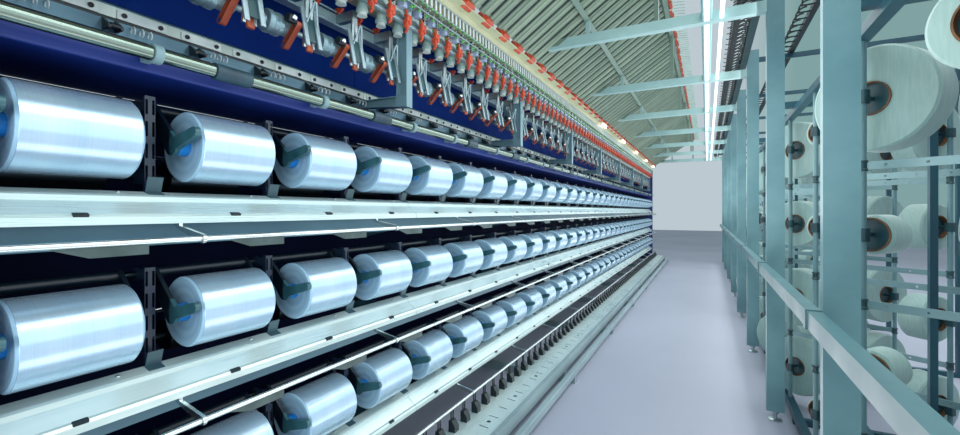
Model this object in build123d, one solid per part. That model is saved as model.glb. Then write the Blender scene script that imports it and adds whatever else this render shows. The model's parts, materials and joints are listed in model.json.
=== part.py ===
"""Yarn texturing machine: a take-up bank, a creel and the bridge over the aisle between them.

Millimetres. X runs across the aisle with X = 0 in its middle, the bank at negative X and the
creel at positive X. Y runs along the machine, Z is up from the floor.
"""

import math
import os

from build123d import *

# Overall layout
section_count = 8
section_pitch = 1600.0
half_width = 1900.0
running_clearance = 0.05
contact_gap = 0.3
panel_joint = 3.0

# Bank frame
sill_height = 60.0
sill_width = 60.0
post_depth = 80.0
post_width = 60.0
end_panel_thickness = 40.0
end_panel_front = -1360.0
end_panel_height = 2720.0
end_panel_corner = 60.0
back_panel_thickness = 6.0
rear_rail_depth = 50.0
rear_rail_height = 80.0
kick_rail_front = -945.0
kick_rail_depth = 40.0
kick_rail_height = 55.0
front_rail_front = -1030.0
front_rail_depth = 30.0
front_rail_height = 80.0
front_rail_rise = 87.0

# Slotted tray and thread sensors in the foot of the bank
tray_back = -1300.0
tray_height = 163.0
tray_flat = 75.0
tray_fall = 13.0
tray_lip = 40.0
tray_sheet = 3.0
tray_slot_length = 60.0
tray_slot_width = 9.0
tray_hole_radius = 13.0
sensor_depth = 42.0
sensor_width = 44.0
sensor_height = 62.0
sensor_pin_radius = 4.0
sensor_pin_length = 55.0
sensor_pin_spacing = 22.0

# Tiers of winding positions
tier_names = ("lower", "middle", "top")
positions_per_tier = 4
lowest_axis_height = 570.0
tier_spacing = 515.0
package_axis_x = -1450.0
package_radius = 110.0
package_length = 250.0
package_edge = 6.0
package_end_dish = 9.0
tube_radius = 28.0
tube_wall = 4.0
tube_overhang = 20.0
lifting_position = 1

# Friction drums and traverse behind the packages
drum_radius = 50.0
drum_length = 230.0
drum_angle = 35.0
drum_shaft_radius = 12.0
traverse_back = 200.0
traverse_drop = 20.0
traverse_rod_radius = 8.0
traverse_stroke = 230.0
traverse_end_clearance = 15.0
guide_collar_radius = 14.0
guide_collar_length = 20.0
guide_finger_thickness = 6.0
guide_finger_reach = 67.0
guide_finger_rise = 22.0

# Cradles
pivot_back = 110.0
pivot_rise = 120.0
pivot_rod_radius = 8.0
cradle_sleeve_radius = 16.0
cradle_arm_thickness = 12.0
cradle_arm_gap = 3.0
cradle_hub_radius = 30.0
cradle_boss_radius = 20.0
spigot_length = 15.0
lever_reach = 120.0
lever_rise = 32.0
lever_root_radius = 20.0
lever_tip_radius = 15.0
lever_thickness = 16.0

# Shelf beam and stepped shelf panel, heights counted down from the package axis
beam_front_x = -1474.0
beam_depth = 46.0
beam_drop = 185.0
beam_height = 118.0
beam_wall = 4.0
bearer_thickness = 8.0
bearer_foot = 60.0
shelf_sheet = 3.0
shelf_flange = 57.0
lip_drop = 143.0
ledge_depth = 36.0
ledge_fall = 11.0
bead_depth = 8.0
bead_round = 5.0
bead_height = 14.0
slope_depth = 41.0
slope_fall = 33.0
step_depth = 14.0
step_fall = 10.0
shelf_face_height = 20.0
shelf_return = 25.0

# Winding posts between the packages
post_flange_width = 28.0
post_flange_thickness = 4.0
post_flange_inset = 12.0
post_web_thickness = 8.0
post_web_depth = 30.0
post_rise = 145.0
post_lobe = 12.0
post_slot_width = 7.0
post_slot_length = 46.0
post_slot_count = 5

# Guard bars, their arms and the flaps
guard_bar_x = -1265.0
guard_bar_rise = 237.0
guard_bar_radius = 8.0
guard_arm_thickness = 10.0
guard_arm_offsets = (430.0, 1290.0)
guard_arm_eye = 13.0
guard_flap_length = 190.0
guard_flap_height = 24.0
guard_flap_taper = 70.0
guard_flap_thickness = 3.0
shelf_flap_width = 42.0
shelf_flap_height = 46.0
shelf_flap_sheet = 2.0

# Canopy and suction tube over the top tier
canopy_rise = 197.0
canopy_height = 73.0
canopy_front = -1420.0
canopy_edge = 8.0
suction_tube_x = -1360.0
suction_tube_rise = 236.0
suction_tube_radius = 20.0
clamp_radius = 27.0
clamp_width = 22.0
clamp_foot_height = 30.0
clamp_offsets = (357.0, 950.0, 1545.0)
sleeve_radius = 26.0
sleeve_length = 117.0
sleeve_offsets = (576.0, 1292.0)

# Stepped guide profile and L-shaped upright brackets
profile_bottom = 1984.0
profile_step_height = 47.0
profile_front = -1730.0
profile_step = 15.0
profile_upper_height = 52.0
profile_slope = 45.0
profile_slope_rise = 23.0
guide_bracket_height = 40.0
guide_bracket_depth = 44.0
guide_bracket_thickness = 8.0
guide_roller_radius = 10.0
guide_roller_length = 26.0
bracket_width = 50.0
bracket_rim = 6.0
bracket_web = 10.0
bracket_bottom = 1958.0
bracket_depth = 66.0
bracket_tail_depth = 41.0
upright_depth = 70.0
upright_top = 2382.0
upright_strap = 8.0

# Feed units: beam, roll shaft, strip brackets and aprons
feeds_per_section = 6
nip_shaft_x = -1556.0
nip_shaft_height = 2160.0
nip_shaft_radius = 12.0
nip_roll_radius = 34.0
nip_roll_length = 64.0
nip_bearing_thickness = 12.0
nip_beam_front = -1590.0
nip_beam_depth = 50.0
nip_beam_bottom = 2300.0
nip_beam_height = 50.0
apron_width = 24.0
apron_sheet = 3.0
apron_roller_radius = 10.0
apron_span = 106.0
apron_angle = 45.0
strip_thickness = 12.0
strip_depth = 10.0
strip_spread = 56.0
strip_top_spread = 26.0
strip_bottom = 2084.0
strip_offset = 54.0
pin_radius = 4.0
cage_plate = 4.0

# Yarn guide rods and rails
guides_per_section = 12
guide_rod_radius = 5.0
guide_rod_height = 2370.0
guide_rod_x = -1602.0
rod_clip_width = 16.0
rod_clips_per_section = 3
guide_rail_depth = 20.0
guide_rail_height = 20.0
guide_rail_rise = 2380.0
guide_width = 28.0
guide_height = 38.0
guide_tail = 24.0

# Texturing spindles and bell guides
spindle_rail_back = -1510.0
spindle_rail_height = 2428.0
spindle_rail_thickness = 12.0
spindle_block_depth = 56.0
spindle_block_width = 84.0
spindle_block_height = 32.0
spindle_axis_x = -1462.0
spindle_shaft_radius = 6.0
spindle_disc_radius = 22.0
spindle_disc_thickness = 7.0
spindle_disc_count = 5
bell_axis_x = -1447.0
bell_radius = 24.0
bell_height = 50.0
bell_stem_radius = 6.0

# Heater casing on top of the bank
casing_bottom = 2590.0
casing_height = 70.0
casing_front = -1340.0
casing_round = 20.0

# Sloping cooling plates, set out from the lower end of their underside
plate_foot_x = -1280.0
plate_foot_height = 2670.0
plate_length = 1163.0
plate_angle = 34.0
plates_per_section = 12
plate_width = 100.0
plate_thickness = 22.0
plate_groove_width = 26.0
plate_groove_depth = 8.0
cap_length = 30.0
cap_width = 150.0
cap_overlap = 8.0
ledge_height = 2630.0
ledge_thickness = 10.0
plate_rail_width = 40.0
plate_rail_depth = 30.0

# Cross beams of the bridge
beam_bottom = 2740.0
cross_beam_depth = 75.0
cross_beam_width = 60.0
stub_width = 30.0
stub_x = -865.0
upper_stub_x = -351.0
lamp_width = 70.0
lamp_height = 60.0
lamp_gap = 45.0
lamp_strip_width = 24.0

# Creel posts, feet and handrail
creel_post_face = 355.0
creel_post_depth = 102.0
creel_post_width = 40.0
creel_post_top = 3000.0
foot_height = 60.0
foot_radius = 40.0
foot_pad = 12.0
foot_stem_radius = 12.0
foot_nut_radius = 20.0
foot_nut_height = 16.0
handrail_depth = 45.0
handrail_height = 60.0
handrail_top = 1050.0
handrail_joint = 6.0
clip_wall = 5.0
clip_width = 34.0

# Input feed over the creel posts
feed_beam_depth = 55.0
feed_beam_height = 60.0
feed_beam_bottom = 2870.0
feed_shaft_gap = 38.0
feed_shaft_radius = 10.0
feed_roll_radius = 28.0
feed_roll_length = 70.0
feed_bearing_radius = 20.0
finger_inner_radius = 45.0
finger_outer_radius = 55.0
finger_thickness = 9.0
finger_rod_radius = 4.0
finger_rod_length = 60.0
comb_x = 720.0
comb_depth = 40.0

# Creel: two layers of columns, each given by its X, the Y of its first column and the turn of its pegs
columns_per_section = 2
creel_layers = ((522.0, 228.0, 50.0), (1190.0, 628.0, 130.0))
creel_tube_radius = 12.0
creel_tube_bottom = 90.0
creel_tube_top = 2040.0
creel_base_rail = 44.0
creel_sleeper_height = 40.0
creel_rail_height = 40.0
creel_outer_post = 40.0
creel_inner_post = 26.0
creel_inner_post_x = 856.0
creel_inner_offset = 645.0
upper_tie_bottom = 2880.0
peg_heights = (300.0, 790.0, 1310.0, 1830.0)
peg_radius = 8.0
peg_disc_thickness = 12.0
peg_disc_inset = 20.0
peg_clamp_width = 36.0
peg_clamp_height = 50.0
paper_tube_radius = 65.0
paper_tube_wall = 5.0
paper_tube_length = 136.0
paper_tube_gap = 32.0
supply_length = 124.0
supply_edge = 8.0

# Radii of the supply packages on the pegs of a column, from the lowest peg up, for the columns of a
# repeat in each layer; a radius of 0 is an empty peg
supply_radii = (
    (
        (200.0, 200.0, 160.0, 200.0),
        (200.0, 75.0, 0.0, 115.0),
        (200.0, 76.0, 76.0, 200.0),
        (75.0, 80.0, 80.0, 80.0),
    ),
    (
        (200.0, 200.0, 200.0, 200.0),
        (200.0, 200.0, 130.0, 75.0),
        (200.0, 130.0, 200.0, 200.0),
        (170.0, 130.0, 130.0, 200.0),
    ),
)
guide_bar_height = 30.0
guide_bar_thickness = 6.0
guide_bar_hole_radius = 5.0
guide_bar_hole_pitch = 110.0

# Places that follow from the sizes above
machine_length = section_count * section_pitch
first_y = -machine_length / 2
last_y = machine_length / 2
package_pitch = section_pitch / positions_per_tier
axis_heights = [lowest_axis_height + tier * tier_spacing for tier in range(len(tier_names))]
top_axis_height = axis_heights[-1]
post_front_x = post_depth - half_width
panel_front_x = post_front_x + back_panel_thickness
drum_distance = package_radius + drum_radius + contact_gap
drum_x = package_axis_x - drum_distance * math.cos(math.radians(drum_angle))
drum_drop = drum_distance * math.sin(math.radians(drum_angle))
pivot_x = package_axis_x - pivot_back
traverse_x = package_axis_x - traverse_back
arm_inner = package_length / 2 + tube_overhang + cradle_arm_gap
arm_outer = arm_inner + cradle_arm_thickness
canopy_bottom = top_axis_height + canopy_rise
canopy_top = canopy_bottom + canopy_height
suction_tube_height = top_axis_height + suction_tube_rise
profile_top = profile_bottom + profile_step_height + profile_upper_height + profile_slope_rise
cross_beam_top = beam_bottom + cross_beam_depth
casing_top = casing_bottom + casing_height
slope = math.radians(plate_angle)
ledge_top = ledge_height + ledge_thickness
paper_tube_start = creel_tube_radius + paper_tube_gap
paper_tube_end = paper_tube_start + paper_tube_length


def boundary(index):
    return first_y + index * section_pitch


def stations(width):
    """Section boundaries, with the first and last moved in so that a piece ends flush."""
    inner = [boundary(index) for index in range(1, section_count)]
    return [first_y + width / 2, *inner, last_y - width / 2]


def repeats(count, offset=None):
    """Y of a pattern with the given count per section, centred on its pitch by default."""
    pitch = section_pitch / count
    start = pitch / 2 if offset is None else offset
    return [boundary(s) + start + i * pitch for s in range(section_count) for i in range(count)]


def at_offsets(offsets):
    return [boundary(s) + offset for s in range(section_count) for offset in offsets]


def at_each(shape, places):
    return [Pos(0, y, 0) * shape for y in places]


def outline(*points):
    return make_face(Polyline(*points, close=True))


def disc(x, z, radius):
    return Pos(x, z) * Circle(radius)


def block(x_low, x_high, z_low, z_high):
    """A rectangle in the XZ section, by its limits."""
    width, height = x_high - x_low, z_high - z_low
    return Pos(x_low + width / 2, z_low + height / 2) * Rectangle(width, height)


def link(start, start_radius, end, end_radius):
    """The hull of two circles: an arm with round ends."""
    first = disc(*start, start_radius)
    second = disc(*end, end_radius)
    return make_hull([*first.edges(), *second.edges()])


def plate(section, thickness):
    """An XZ section as a plate centred on Y = 0."""
    return extrude(Plane.XZ * section, amount=thickness / 2, both=True)


def along(section, start, end):
    """An XZ section drawn out from Y = start to Y = end."""
    return extrude(Plane.XZ.offset(-start) * section, amount=start - end)


def rod(x, z, radius, start, end):
    return along(disc(x, z, radius), start, end)


def between_stations(section, width):
    """An XZ section between the faces of neighbouring section pieces of the given width."""
    places = stations(width)
    return [along(section, low + width / 2, high - width / 2) for low, high in zip(places, places[1:])]


def per_section(section, joint=panel_joint):
    """One length of an XZ section for each section of the machine, with a joint between them."""
    piece = along(section, joint / 2, section_pitch - joint / 2)
    return at_each(piece, [boundary(s) for s in range(section_count)])


def turned(points, x, z):
    """A profile of (radius, y) points revolved about a line along Y through (x, z)."""
    return Pos(x, 0, z) * revolve(outline(*points), axis=Axis.Y)


def upright_turned(points, x, z):
    """A profile of (radius, height) points revolved about a vertical line through (x, z)."""
    return Pos(x, 0, z) * revolve(Plane.XZ * outline(*points), axis=Axis.Z)


def folded_sheet(points, thickness):
    """Section of a folded sheet: the path is its outer face and the sheet lies on its right."""
    normals = []
    for (x0, z0), (x1, z1) in zip(points, points[1:]):
        run = math.hypot(x1 - x0, z1 - z0)
        normals.append(((z1 - z0) / run, (x0 - x1) / run))
    inner = []
    for index, (x, z) in enumerate(points):
        before = normals[max(index - 1, 0)]
        after = normals[min(index, len(normals) - 1)]
        spread = 1 + before[0] * after[0] + before[1] * after[1]
        shift_x = thickness * (before[0] + after[0]) / spread
        shift_z = thickness * (before[1] + after[1]) / spread
        inner.append((x + shift_x, z + shift_z))
    return outline(*points, *reversed(inner))


def stepped_shaft(radius, roll_radius, roll_length, places, start, end):
    """Profile of a shaft that carries one roll at each place, all turned from one piece."""
    points = [(0, start), (radius, start)]
    for y in places:
        low, high = y - roll_length / 2, y + roll_length / 2
        points += [(radius, low), (roll_radius, low), (roll_radius, high), (radius, high)]
    return [*points, (radius, end), (0, end)]


def on_plate(along_slope, above):
    """XZ of a point given along the cooling plates' underside and square to it."""
    x = plate_foot_x + along_slope * math.cos(slope) - above * math.sin(slope)
    z = plate_foot_height + along_slope * math.sin(slope) + above * math.cos(slope)
    return x, z


def underside_height(x, above=0.0):
    """Height at x of the line that lies this far above the cooling plates' underside."""
    return plate_foot_height + (x - plate_foot_x) * math.tan(slope) + above / math.cos(slope)


# Bank frame
def base_frame():
    sill_back = -half_width
    kick_back = kick_rail_front - kick_rail_depth
    rail_back = front_rail_front - front_rail_depth
    sill = block(sill_back, kick_rail_front, 0, kick_rail_height)
    sill += block(sill_back, rail_back, 0, sill_height)
    sill += block(rail_back, front_rail_front, 0, front_rail_rise)
    sills = at_each(plate(sill, sill_width), stations(sill_width))
    kick_rail = block(kick_back, kick_rail_front, kick_rail_height, 2 * kick_rail_height)
    kick_rail = along(kick_rail, first_y, last_y)
    kick_rail = fillet(kick_rail.edges().filter_by(Axis.Y), kick_rail_depth / 8)
    front_rail = along(
        block(rail_back, front_rail_front, front_rail_rise, front_rail_rise + front_rail_height),
        first_y,
        last_y,
    )
    rear_rail = block(sill_back, sill_back + rear_rail_depth, sill_height, sill_height + rear_rail_height)
    return [*sills, kick_rail, front_rail, *between_stations(rear_rail, post_width)]


def section_posts():
    post = plate(block(-half_width, post_front_x, sill_height, casing_bottom), post_width)
    return at_each(post, stations(post_width))


def end_panels():
    panel = block(-half_width, end_panel_front, 0, end_panel_height)
    corner = panel.vertices().sort_by(lambda v: v.X + v.Y)[-1]
    panel = fillet(corner, end_panel_corner)
    near = along(panel, first_y - end_panel_thickness, first_y)
    far = along(panel, last_y, last_y + end_panel_thickness)
    return [near, far]


def back_panels():
    low = sill_height + rear_rail_height
    lower = block(post_front_x, panel_front_x, low, canopy_bottom - panel_joint)
    upper = block(post_front_x, panel_front_x, canopy_bottom, casing_bottom)
    return per_section(lower) + per_section(upper)


def slotted_tray():
    front = front_rail_front - front_rail_depth
    low = tray_height - tray_fall
    path = [
        (tray_back, sill_height),
        (tray_back, tray_height),
        (tray_back + tray_flat, tray_height),
        (front, low),
        (front, low - tray_lip),
    ]
    tray = along(folded_sheet(path, tray_sheet), panel_joint / 2, section_pitch - panel_joint / 2)
    middle = (tray_back + tray_flat + front) / 2
    slot = extrude(SlotOverall(tray_slot_length, tray_slot_width), amount=2 * tray_height)
    pitch = section_pitch / guides_per_section
    slots = [Pos(middle, (i + 0.5) * pitch, 0) * slot for i in range(guides_per_section)]
    hole = extrude(Circle(tray_hole_radius), amount=2 * tray_height)
    holes = [Pos(middle, (i + 1) * section_pitch / 4, 0) * hole for i in range(3)]
    tray -= slots + holes
    return at_each(tray, [boundary(s) for s in range(section_count)])


def thread_sensors():
    back = tray_back + (tray_flat - sensor_depth) / 2
    top = tray_height + sensor_height
    body = outline(
        (back, tray_height),
        (back, top),
        (back + sensor_depth / 2, top),
        (back + sensor_depth, top - sensor_height / 2),
        (back + sensor_depth, tray_height),
    )
    sensor = plate(body, sensor_width)
    pin = Pos(back + sensor_depth / 4, 0, top + sensor_pin_length / 2)
    pin *= Cylinder(sensor_pin_radius, sensor_pin_length)
    sensor += [Pos(0, side * sensor_pin_spacing / 2, 0) * pin for side in (-1, 1)]
    return at_each(sensor, repeats(guides_per_section))


# Shelves
def shelf_beams():
    solids = []
    back = beam_front_x - beam_depth
    foot_top = beam_drop + beam_wall
    for axis in axis_heights:
        top = axis - beam_drop
        bottom = top - beam_height
        path = [(back, top), (beam_front_x, top), (beam_front_x, bottom), (back, bottom)]
        solids.append(along(folded_sheet(path, beam_wall), first_y, last_y))
        inner = beam_front_x - beam_wall
        bearer = outline(
            (inner, axis - foot_top),
            (inner, bottom + beam_wall),
            (back, bottom + beam_wall),
            (panel_front_x, bottom - bearer_foot),
            (panel_front_x, axis - foot_top),
        )
        bearer -= disc((back + panel_front_x) / 2, axis - foot_top - beam_height / 2, beam_height / 4)
        solids += at_each(plate(bearer, bearer_thickness), stations(bearer_thickness))
    return solids


def shelf_path(axis):
    """Outer face of the stepped shelf, from the flange on the beam to the return under its front."""
    lip = axis - lip_drop
    ledge_x = beam_front_x + ledge_depth
    bead_x = ledge_x + bead_depth
    slope_x = bead_x + slope_depth
    front = slope_x + step_depth
    bead_top = lip - ledge_fall - bead_round
    slope_top = bead_top - bead_height
    slope_foot = slope_top - slope_fall
    front_top = slope_foot - step_fall
    front_foot = front_top - shelf_face_height
    return [
        (beam_front_x, lip - shelf_flange),
        (beam_front_x, lip),
        (ledge_x, lip - ledge_fall),
        (bead_x, bead_top),
        (bead_x, slope_top),
        (slope_x, slope_foot),
        (slope_x + 0.65 * step_depth, slope_foot - 0.3 * step_fall),
        (front, front_top),
        (front, front_foot),
        (front - shelf_return, front_foot),
    ]


def shelf_panels():
    solids = []
    for axis in axis_heights:
        solids += per_section(folded_sheet(shelf_path(axis), shelf_sheet))
    return solids


def shelf_flaps():
    """Small bent flaps that stand on the shelf's ledge between the packages."""
    solids = []
    for axis in axis_heights:
        lip, ledge = shelf_path(axis)[1:3]
        run_x, run_z = ledge[0] - lip[0], ledge[1] - lip[1]
        foot = (lip[0] + 0.9 * run_x, lip[1] + 0.9 * run_z)
        heel = (lip[0] + 0.2 * run_x, lip[1] + 0.2 * run_z)
        tip = (heel[0] + shelf_flap_height / 3, heel[1] + shelf_flap_height)
        flap = plate(folded_sheet([foot, heel, tip], shelf_flap_sheet), shelf_flap_width)
        solids += at_each(flap, gap_places(shelf_flap_width))
    return solids


def gap_places(width):
    """Y of the gaps between packages, with the two end ones moved in by half a width."""
    inner = [first_y + i * package_pitch for i in range(1, section_count * positions_per_tier)]
    return [first_y + width / 2, *inner, last_y - width / 2]


# Winding posts
def winding_posts():
    """Slotted posts with bearings for the drum shaft, the cradle rod and the traverse rod."""
    flange_back = beam_front_x - post_flange_inset
    web_back = flange_back - post_web_depth
    solids = []
    for axis in axis_heights:
        foot = axis - beam_drop
        top = axis + post_rise
        drum = (drum_x, axis - drum_drop)
        pivot = (pivot_x, axis + pivot_rise)
        traverse = (traverse_x, axis - traverse_drop)
        web = block(web_back, flange_back, foot, top)
        web += link(drum, drum_shaft_radius + post_lobe, (web_back, drum[1]), 2 * post_lobe)
        web += link(pivot, pivot_rod_radius + post_lobe, (web_back, pivot[1]), post_lobe)
        web += link(traverse, traverse_rod_radius + post_lobe, drum, drum_shaft_radius + post_lobe)
        web -= disc(*drum, drum_shaft_radius + running_clearance)
        web -= disc(*pivot, pivot_rod_radius)
        web -= disc(*traverse, traverse_rod_radius + running_clearance)
        post = plate(web, post_web_thickness)
        flange = block(flange_back, flange_back + post_flange_thickness, foot, top)
        flange = plate(flange, post_flange_width)
        pitch = (top - foot) / post_slot_count
        cutter = Plane.YZ * SlotOverall(post_slot_length, post_slot_width, rotation=90)
        cutter = extrude(cutter, amount=2 * post_flange_thickness)
        side = (post_flange_width + post_web_thickness) / 4
        for row in range(post_slot_count):
            height = foot + (row + 0.5) * pitch
            flange -= [
                Pos(flange_back - post_flange_thickness / 2, edge * side, height) * cutter
                for edge in (-1, 1)
            ]
        solids += at_each(post + flange, gap_places(post_flange_width))
    return solids


def cradle_rods():
    return [rod(pivot_x, axis + pivot_rise, pivot_rod_radius, first_y, last_y) for axis in axis_heights]


# Packages, cradles, drums and traverse
def package_places():
    """Y of the winding positions of one tier, without the one that is free to lift."""
    return [y for i, y in enumerate(repeats(positions_per_tier)) if i != lifting_position]


def lifting_place():
    return repeats(positions_per_tier)[lifting_position]


def package_profile(bore, overhang):
    """Half section of a wound package: a cylinder with eased edges and shallow dished ends."""
    half = package_length / 2
    ends = half + overhang
    face = half - package_end_dish
    rim = package_radius - package_edge
    core = [(bore, -ends), (tube_radius, -ends)] if overhang else [(bore, -face)]
    wall = [(tube_radius, -face), (rim, -half), (package_radius, package_edge - half)]
    if not overhang:
        wall = wall[1:]
    lower = core + wall
    return lower + [(radius, -y) for radius, y in reversed(lower)]


def row_package():
    """A package wound on its tube, as one piece."""
    return turned(package_profile(tube_radius - tube_wall, tube_overhang), package_axis_x, 0)


def package_row(tier):
    package = Pos(0, 0, axis_heights[tier]) * row_package()
    return at_each(package, package_places())


def lifting_package(tier):
    if tier == len(tier_names) - 1:
        package = turned(package_profile(tube_radius, 0), package_axis_x, axis_heights[tier])
    else:
        package = Pos(0, 0, axis_heights[tier]) * row_package()
    return [Pos(0, lifting_place(), 0) * package]


def winding_tube(tier):
    end = package_length / 2 + tube_overhang
    bore = tube_radius - tube_wall
    points = [(bore, -end), (tube_radius, -end), (tube_radius, end), (bore, end)]
    return [Pos(0, lifting_place(), 0) * turned(points, package_axis_x, axis_heights[tier])]


def cradle():
    """Two arms on a sleeve, with spigots for the tube and a lever on the near arm."""
    pivot = (pivot_x, pivot_rise)
    centre = (package_axis_x, 0)
    arm = plate(link(pivot, cradle_boss_radius, centre, cradle_hub_radius), cradle_arm_thickness)
    arm_y = arm_inner + cradle_arm_thickness / 2
    bore = tube_radius - tube_wall
    tip = package_length / 2 + tube_overhang - spigot_length
    shape = rod(*pivot, cradle_sleeve_radius, -arm_outer, arm_outer)
    for side in (-1, 1):
        spigot = rod(*centre, bore - running_clearance, min(side * tip, side * arm_inner),
                     max(side * tip, side * arm_inner))
        shape += [Pos(0, side * arm_y, 0) * arm, spigot]
    lever = link(centre, lever_root_radius, (centre[0] + lever_reach, lever_rise), lever_tip_radius)
    lever_y = lever_thickness / 2 - arm_outer - 2
    shape += Pos(0, lever_y, 0) * plate(lever, lever_thickness)
    return shape - rod(*pivot, pivot_rod_radius + running_clearance, -package_pitch, package_pitch)


def parked_cradles():
    shape = cradle()
    return [copy for axis in axis_heights for copy in at_each(Pos(0, 0, axis) * shape, package_places())]


def lifting_cradle(tier):
    return [Pos(0, lifting_place(), axis_heights[tier]) * cradle()]


def drum_shaft(tier):
    places = repeats(positions_per_tier)
    start, end = first_y + panel_joint, last_y - panel_joint
    points = stepped_shaft(drum_shaft_radius, drum_radius, drum_length, places, start, end)
    return [turned(points, drum_x, axis_heights[tier] - drum_drop)]


def traverse_rod(tier):
    x, z = traverse_x, axis_heights[tier] - traverse_drop
    inset = traverse_stroke / 2 + traverse_end_clearance
    start, end = first_y + inset, last_y - inset
    places = repeats(positions_per_tier)
    profile = stepped_shaft(traverse_rod_radius, guide_collar_radius, guide_collar_length,
                            places, start, end)
    half = guide_finger_thickness / 2
    tip = (x + guide_finger_reach, z + guide_finger_rise)
    finger = link((x + guide_collar_radius - half, z), half, tip, half)
    return [turned(profile, x, z) + at_each(plate(finger, guide_finger_thickness), places)]


# Guard bars
def guard_bars():
    """Round bars in front of each tier but the top one, and one more under the lowest shelf."""
    solids = []
    for axis in axis_heights:
        height = axis - tier_spacing + guard_bar_rise
        solids += per_section(disc(guard_bar_x, height, guard_bar_radius))
        foot = shelf_path(axis)[-1]
        pad = block(foot[0], foot[0] + shelf_return, foot[1] - guard_arm_thickness, foot[1])
        knee = (foot[0] + shelf_return / 2, foot[1] - guard_arm_thickness)
        bar = (guard_bar_x, height)
        arm = pad + link(knee, guard_arm_thickness / 2, bar, guard_arm_eye)
        arm -= disc(*bar, guard_bar_radius)
        solids += at_each(plate(arm, guard_arm_thickness), at_offsets(guard_arm_offsets))
    return solids


def guard_flaps():
    """Long tapered flaps under the guard bars, one in front of each package."""
    solids = []
    low, taper, length = -guard_flap_height, guard_flap_taper, guard_flap_length
    shape = outline((0, 0), (length, 0), (length, low), (taper, low))
    for axis in axis_heights[1:]:
        top = axis - tier_spacing + guard_bar_rise - guard_bar_radius
        flap = extrude(Plane.YZ * shape, amount=guard_flap_thickness)
        flap = Pos(guard_bar_x - guard_flap_thickness / 2, -length / 2, top) * flap
        solids += at_each(flap, repeats(positions_per_tier))
    return solids


# Over the top tier
def canopy_beam():
    section = block(panel_front_x, canopy_front, canopy_bottom, canopy_top)
    section = fillet(section.vertices().sort_by(Axis.X)[-2:], canopy_edge)
    return [along(section, first_y, last_y)]


def suction_tube():
    return [rod(suction_tube_x, suction_tube_height, suction_tube_radius, first_y, last_y)]


def tube_clamps():
    """Clamps that hold the suction tube on the canopy, and sleeves over its joints."""
    low = suction_tube_height - clamp_foot_height / 2
    tube = disc(suction_tube_x, suction_tube_height, suction_tube_radius)
    ring = disc(suction_tube_x, suction_tube_height, clamp_radius)
    ring += block(canopy_front, suction_tube_x, low, low + clamp_foot_height)
    clamps = at_each(plate(ring - tube, clamp_width), at_offsets(clamp_offsets))
    sleeve = disc(suction_tube_x, suction_tube_height, sleeve_radius) - tube
    return clamps + at_each(plate(sleeve, sleeve_length), at_offsets(sleeve_offsets))


def guide_profile():
    step_top = profile_bottom + profile_step_height
    upper_front = profile_front - profile_step
    upper_top = step_top + profile_upper_height
    section = outline(
        (panel_front_x, profile_bottom),
        (profile_front, profile_bottom),
        (profile_front, step_top - profile_step / 3),
        (upper_front, step_top),
        (upper_front, upper_top),
        (upper_front - profile_slope, profile_top),
        (panel_front_x, profile_top),
    )
    return per_section(section)


def guide_brackets():
    """Small three-cornered brackets with a roller between each pair, on the guide profile."""
    low = profile_bottom + 3
    tip = (profile_front + guide_bracket_depth, low + guide_roller_radius)
    side = outline((profile_front, low), (profile_front, low + guide_bracket_height), tip,
                   (tip[0], low))
    pin = (tip[0] - guide_roller_radius, low + guide_roller_radius)
    cheek = plate(side, guide_bracket_thickness)
    spread = (guide_roller_length + guide_bracket_thickness) / 2
    roller = plate(disc(*pin, guide_roller_radius), guide_roller_length)
    unit = roller + [Pos(0, side * spread, 0) * cheek for side in (-1, 1)]
    return at_each(unit, repeats(feeds_per_section))


def upright_brackets():
    """L-shaped brackets: an arm from the guide profile and an upright, both pocketed."""
    back = canopy_front - upright_depth
    arm_top = bracket_bottom + bracket_depth
    tail_top = profile_bottom + profile_step_height - profile_step / 3
    tail_low = tail_top - bracket_tail_depth
    section = outline(
        (canopy_front, bracket_bottom),
        (canopy_front, casing_bottom),
        (canopy_front - upright_strap, casing_bottom),
        (canopy_front - upright_strap, upright_top),
        (back, upright_top),
        (back, arm_top),
        (profile_front, tail_top),
        (profile_front, tail_low),
    )
    solid = plate(section, bracket_width)
    pocket = block(back + bracket_rim, canopy_front - bracket_rim, arm_top, upright_top - bracket_rim)
    pocket += outline(
        (profile_front + bracket_rim, tail_top - bracket_rim),
        (profile_front + bracket_rim, tail_low + bracket_rim),
        (back - bracket_rim, bracket_bottom + bracket_tail_depth / 2),
        (back - bracket_rim, arm_top - bracket_rim),
    )
    pocket_depth = (bracket_width - bracket_web) / 2
    for side in (-1, 1):
        y = side * (bracket_web + pocket_depth) / 2
        solid -= Pos(0, y, 0) * plate(pocket, pocket_depth)
    return at_each(solid, stations(bracket_width))


# Feed units
def nip_bearings():
    """Plates between the uprights and the feed beam that carry the roll shaft."""
    front = canopy_front - upright_depth
    shaft = (nip_shaft_x, nip_shaft_height)
    beam_top = nip_beam_bottom + nip_beam_height
    section = outline(
        (front, beam_top),
        (nip_beam_front, beam_top),
        (nip_beam_front, nip_shaft_height),
        (front, nip_shaft_height + 2 * nip_shaft_radius),
    )
    section += link(shaft, nip_shaft_radius + post_lobe, (shaft[0], nip_beam_bottom), nip_shaft_radius)
    section -= disc(*shaft, nip_shaft_radius + running_clearance)
    window = ((front + nip_beam_front) / 2, nip_beam_bottom)
    section -= disc(*window, nip_beam_height / 2)
    return at_each(plate(section, nip_bearing_thickness), stations(nip_bearing_thickness))


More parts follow.
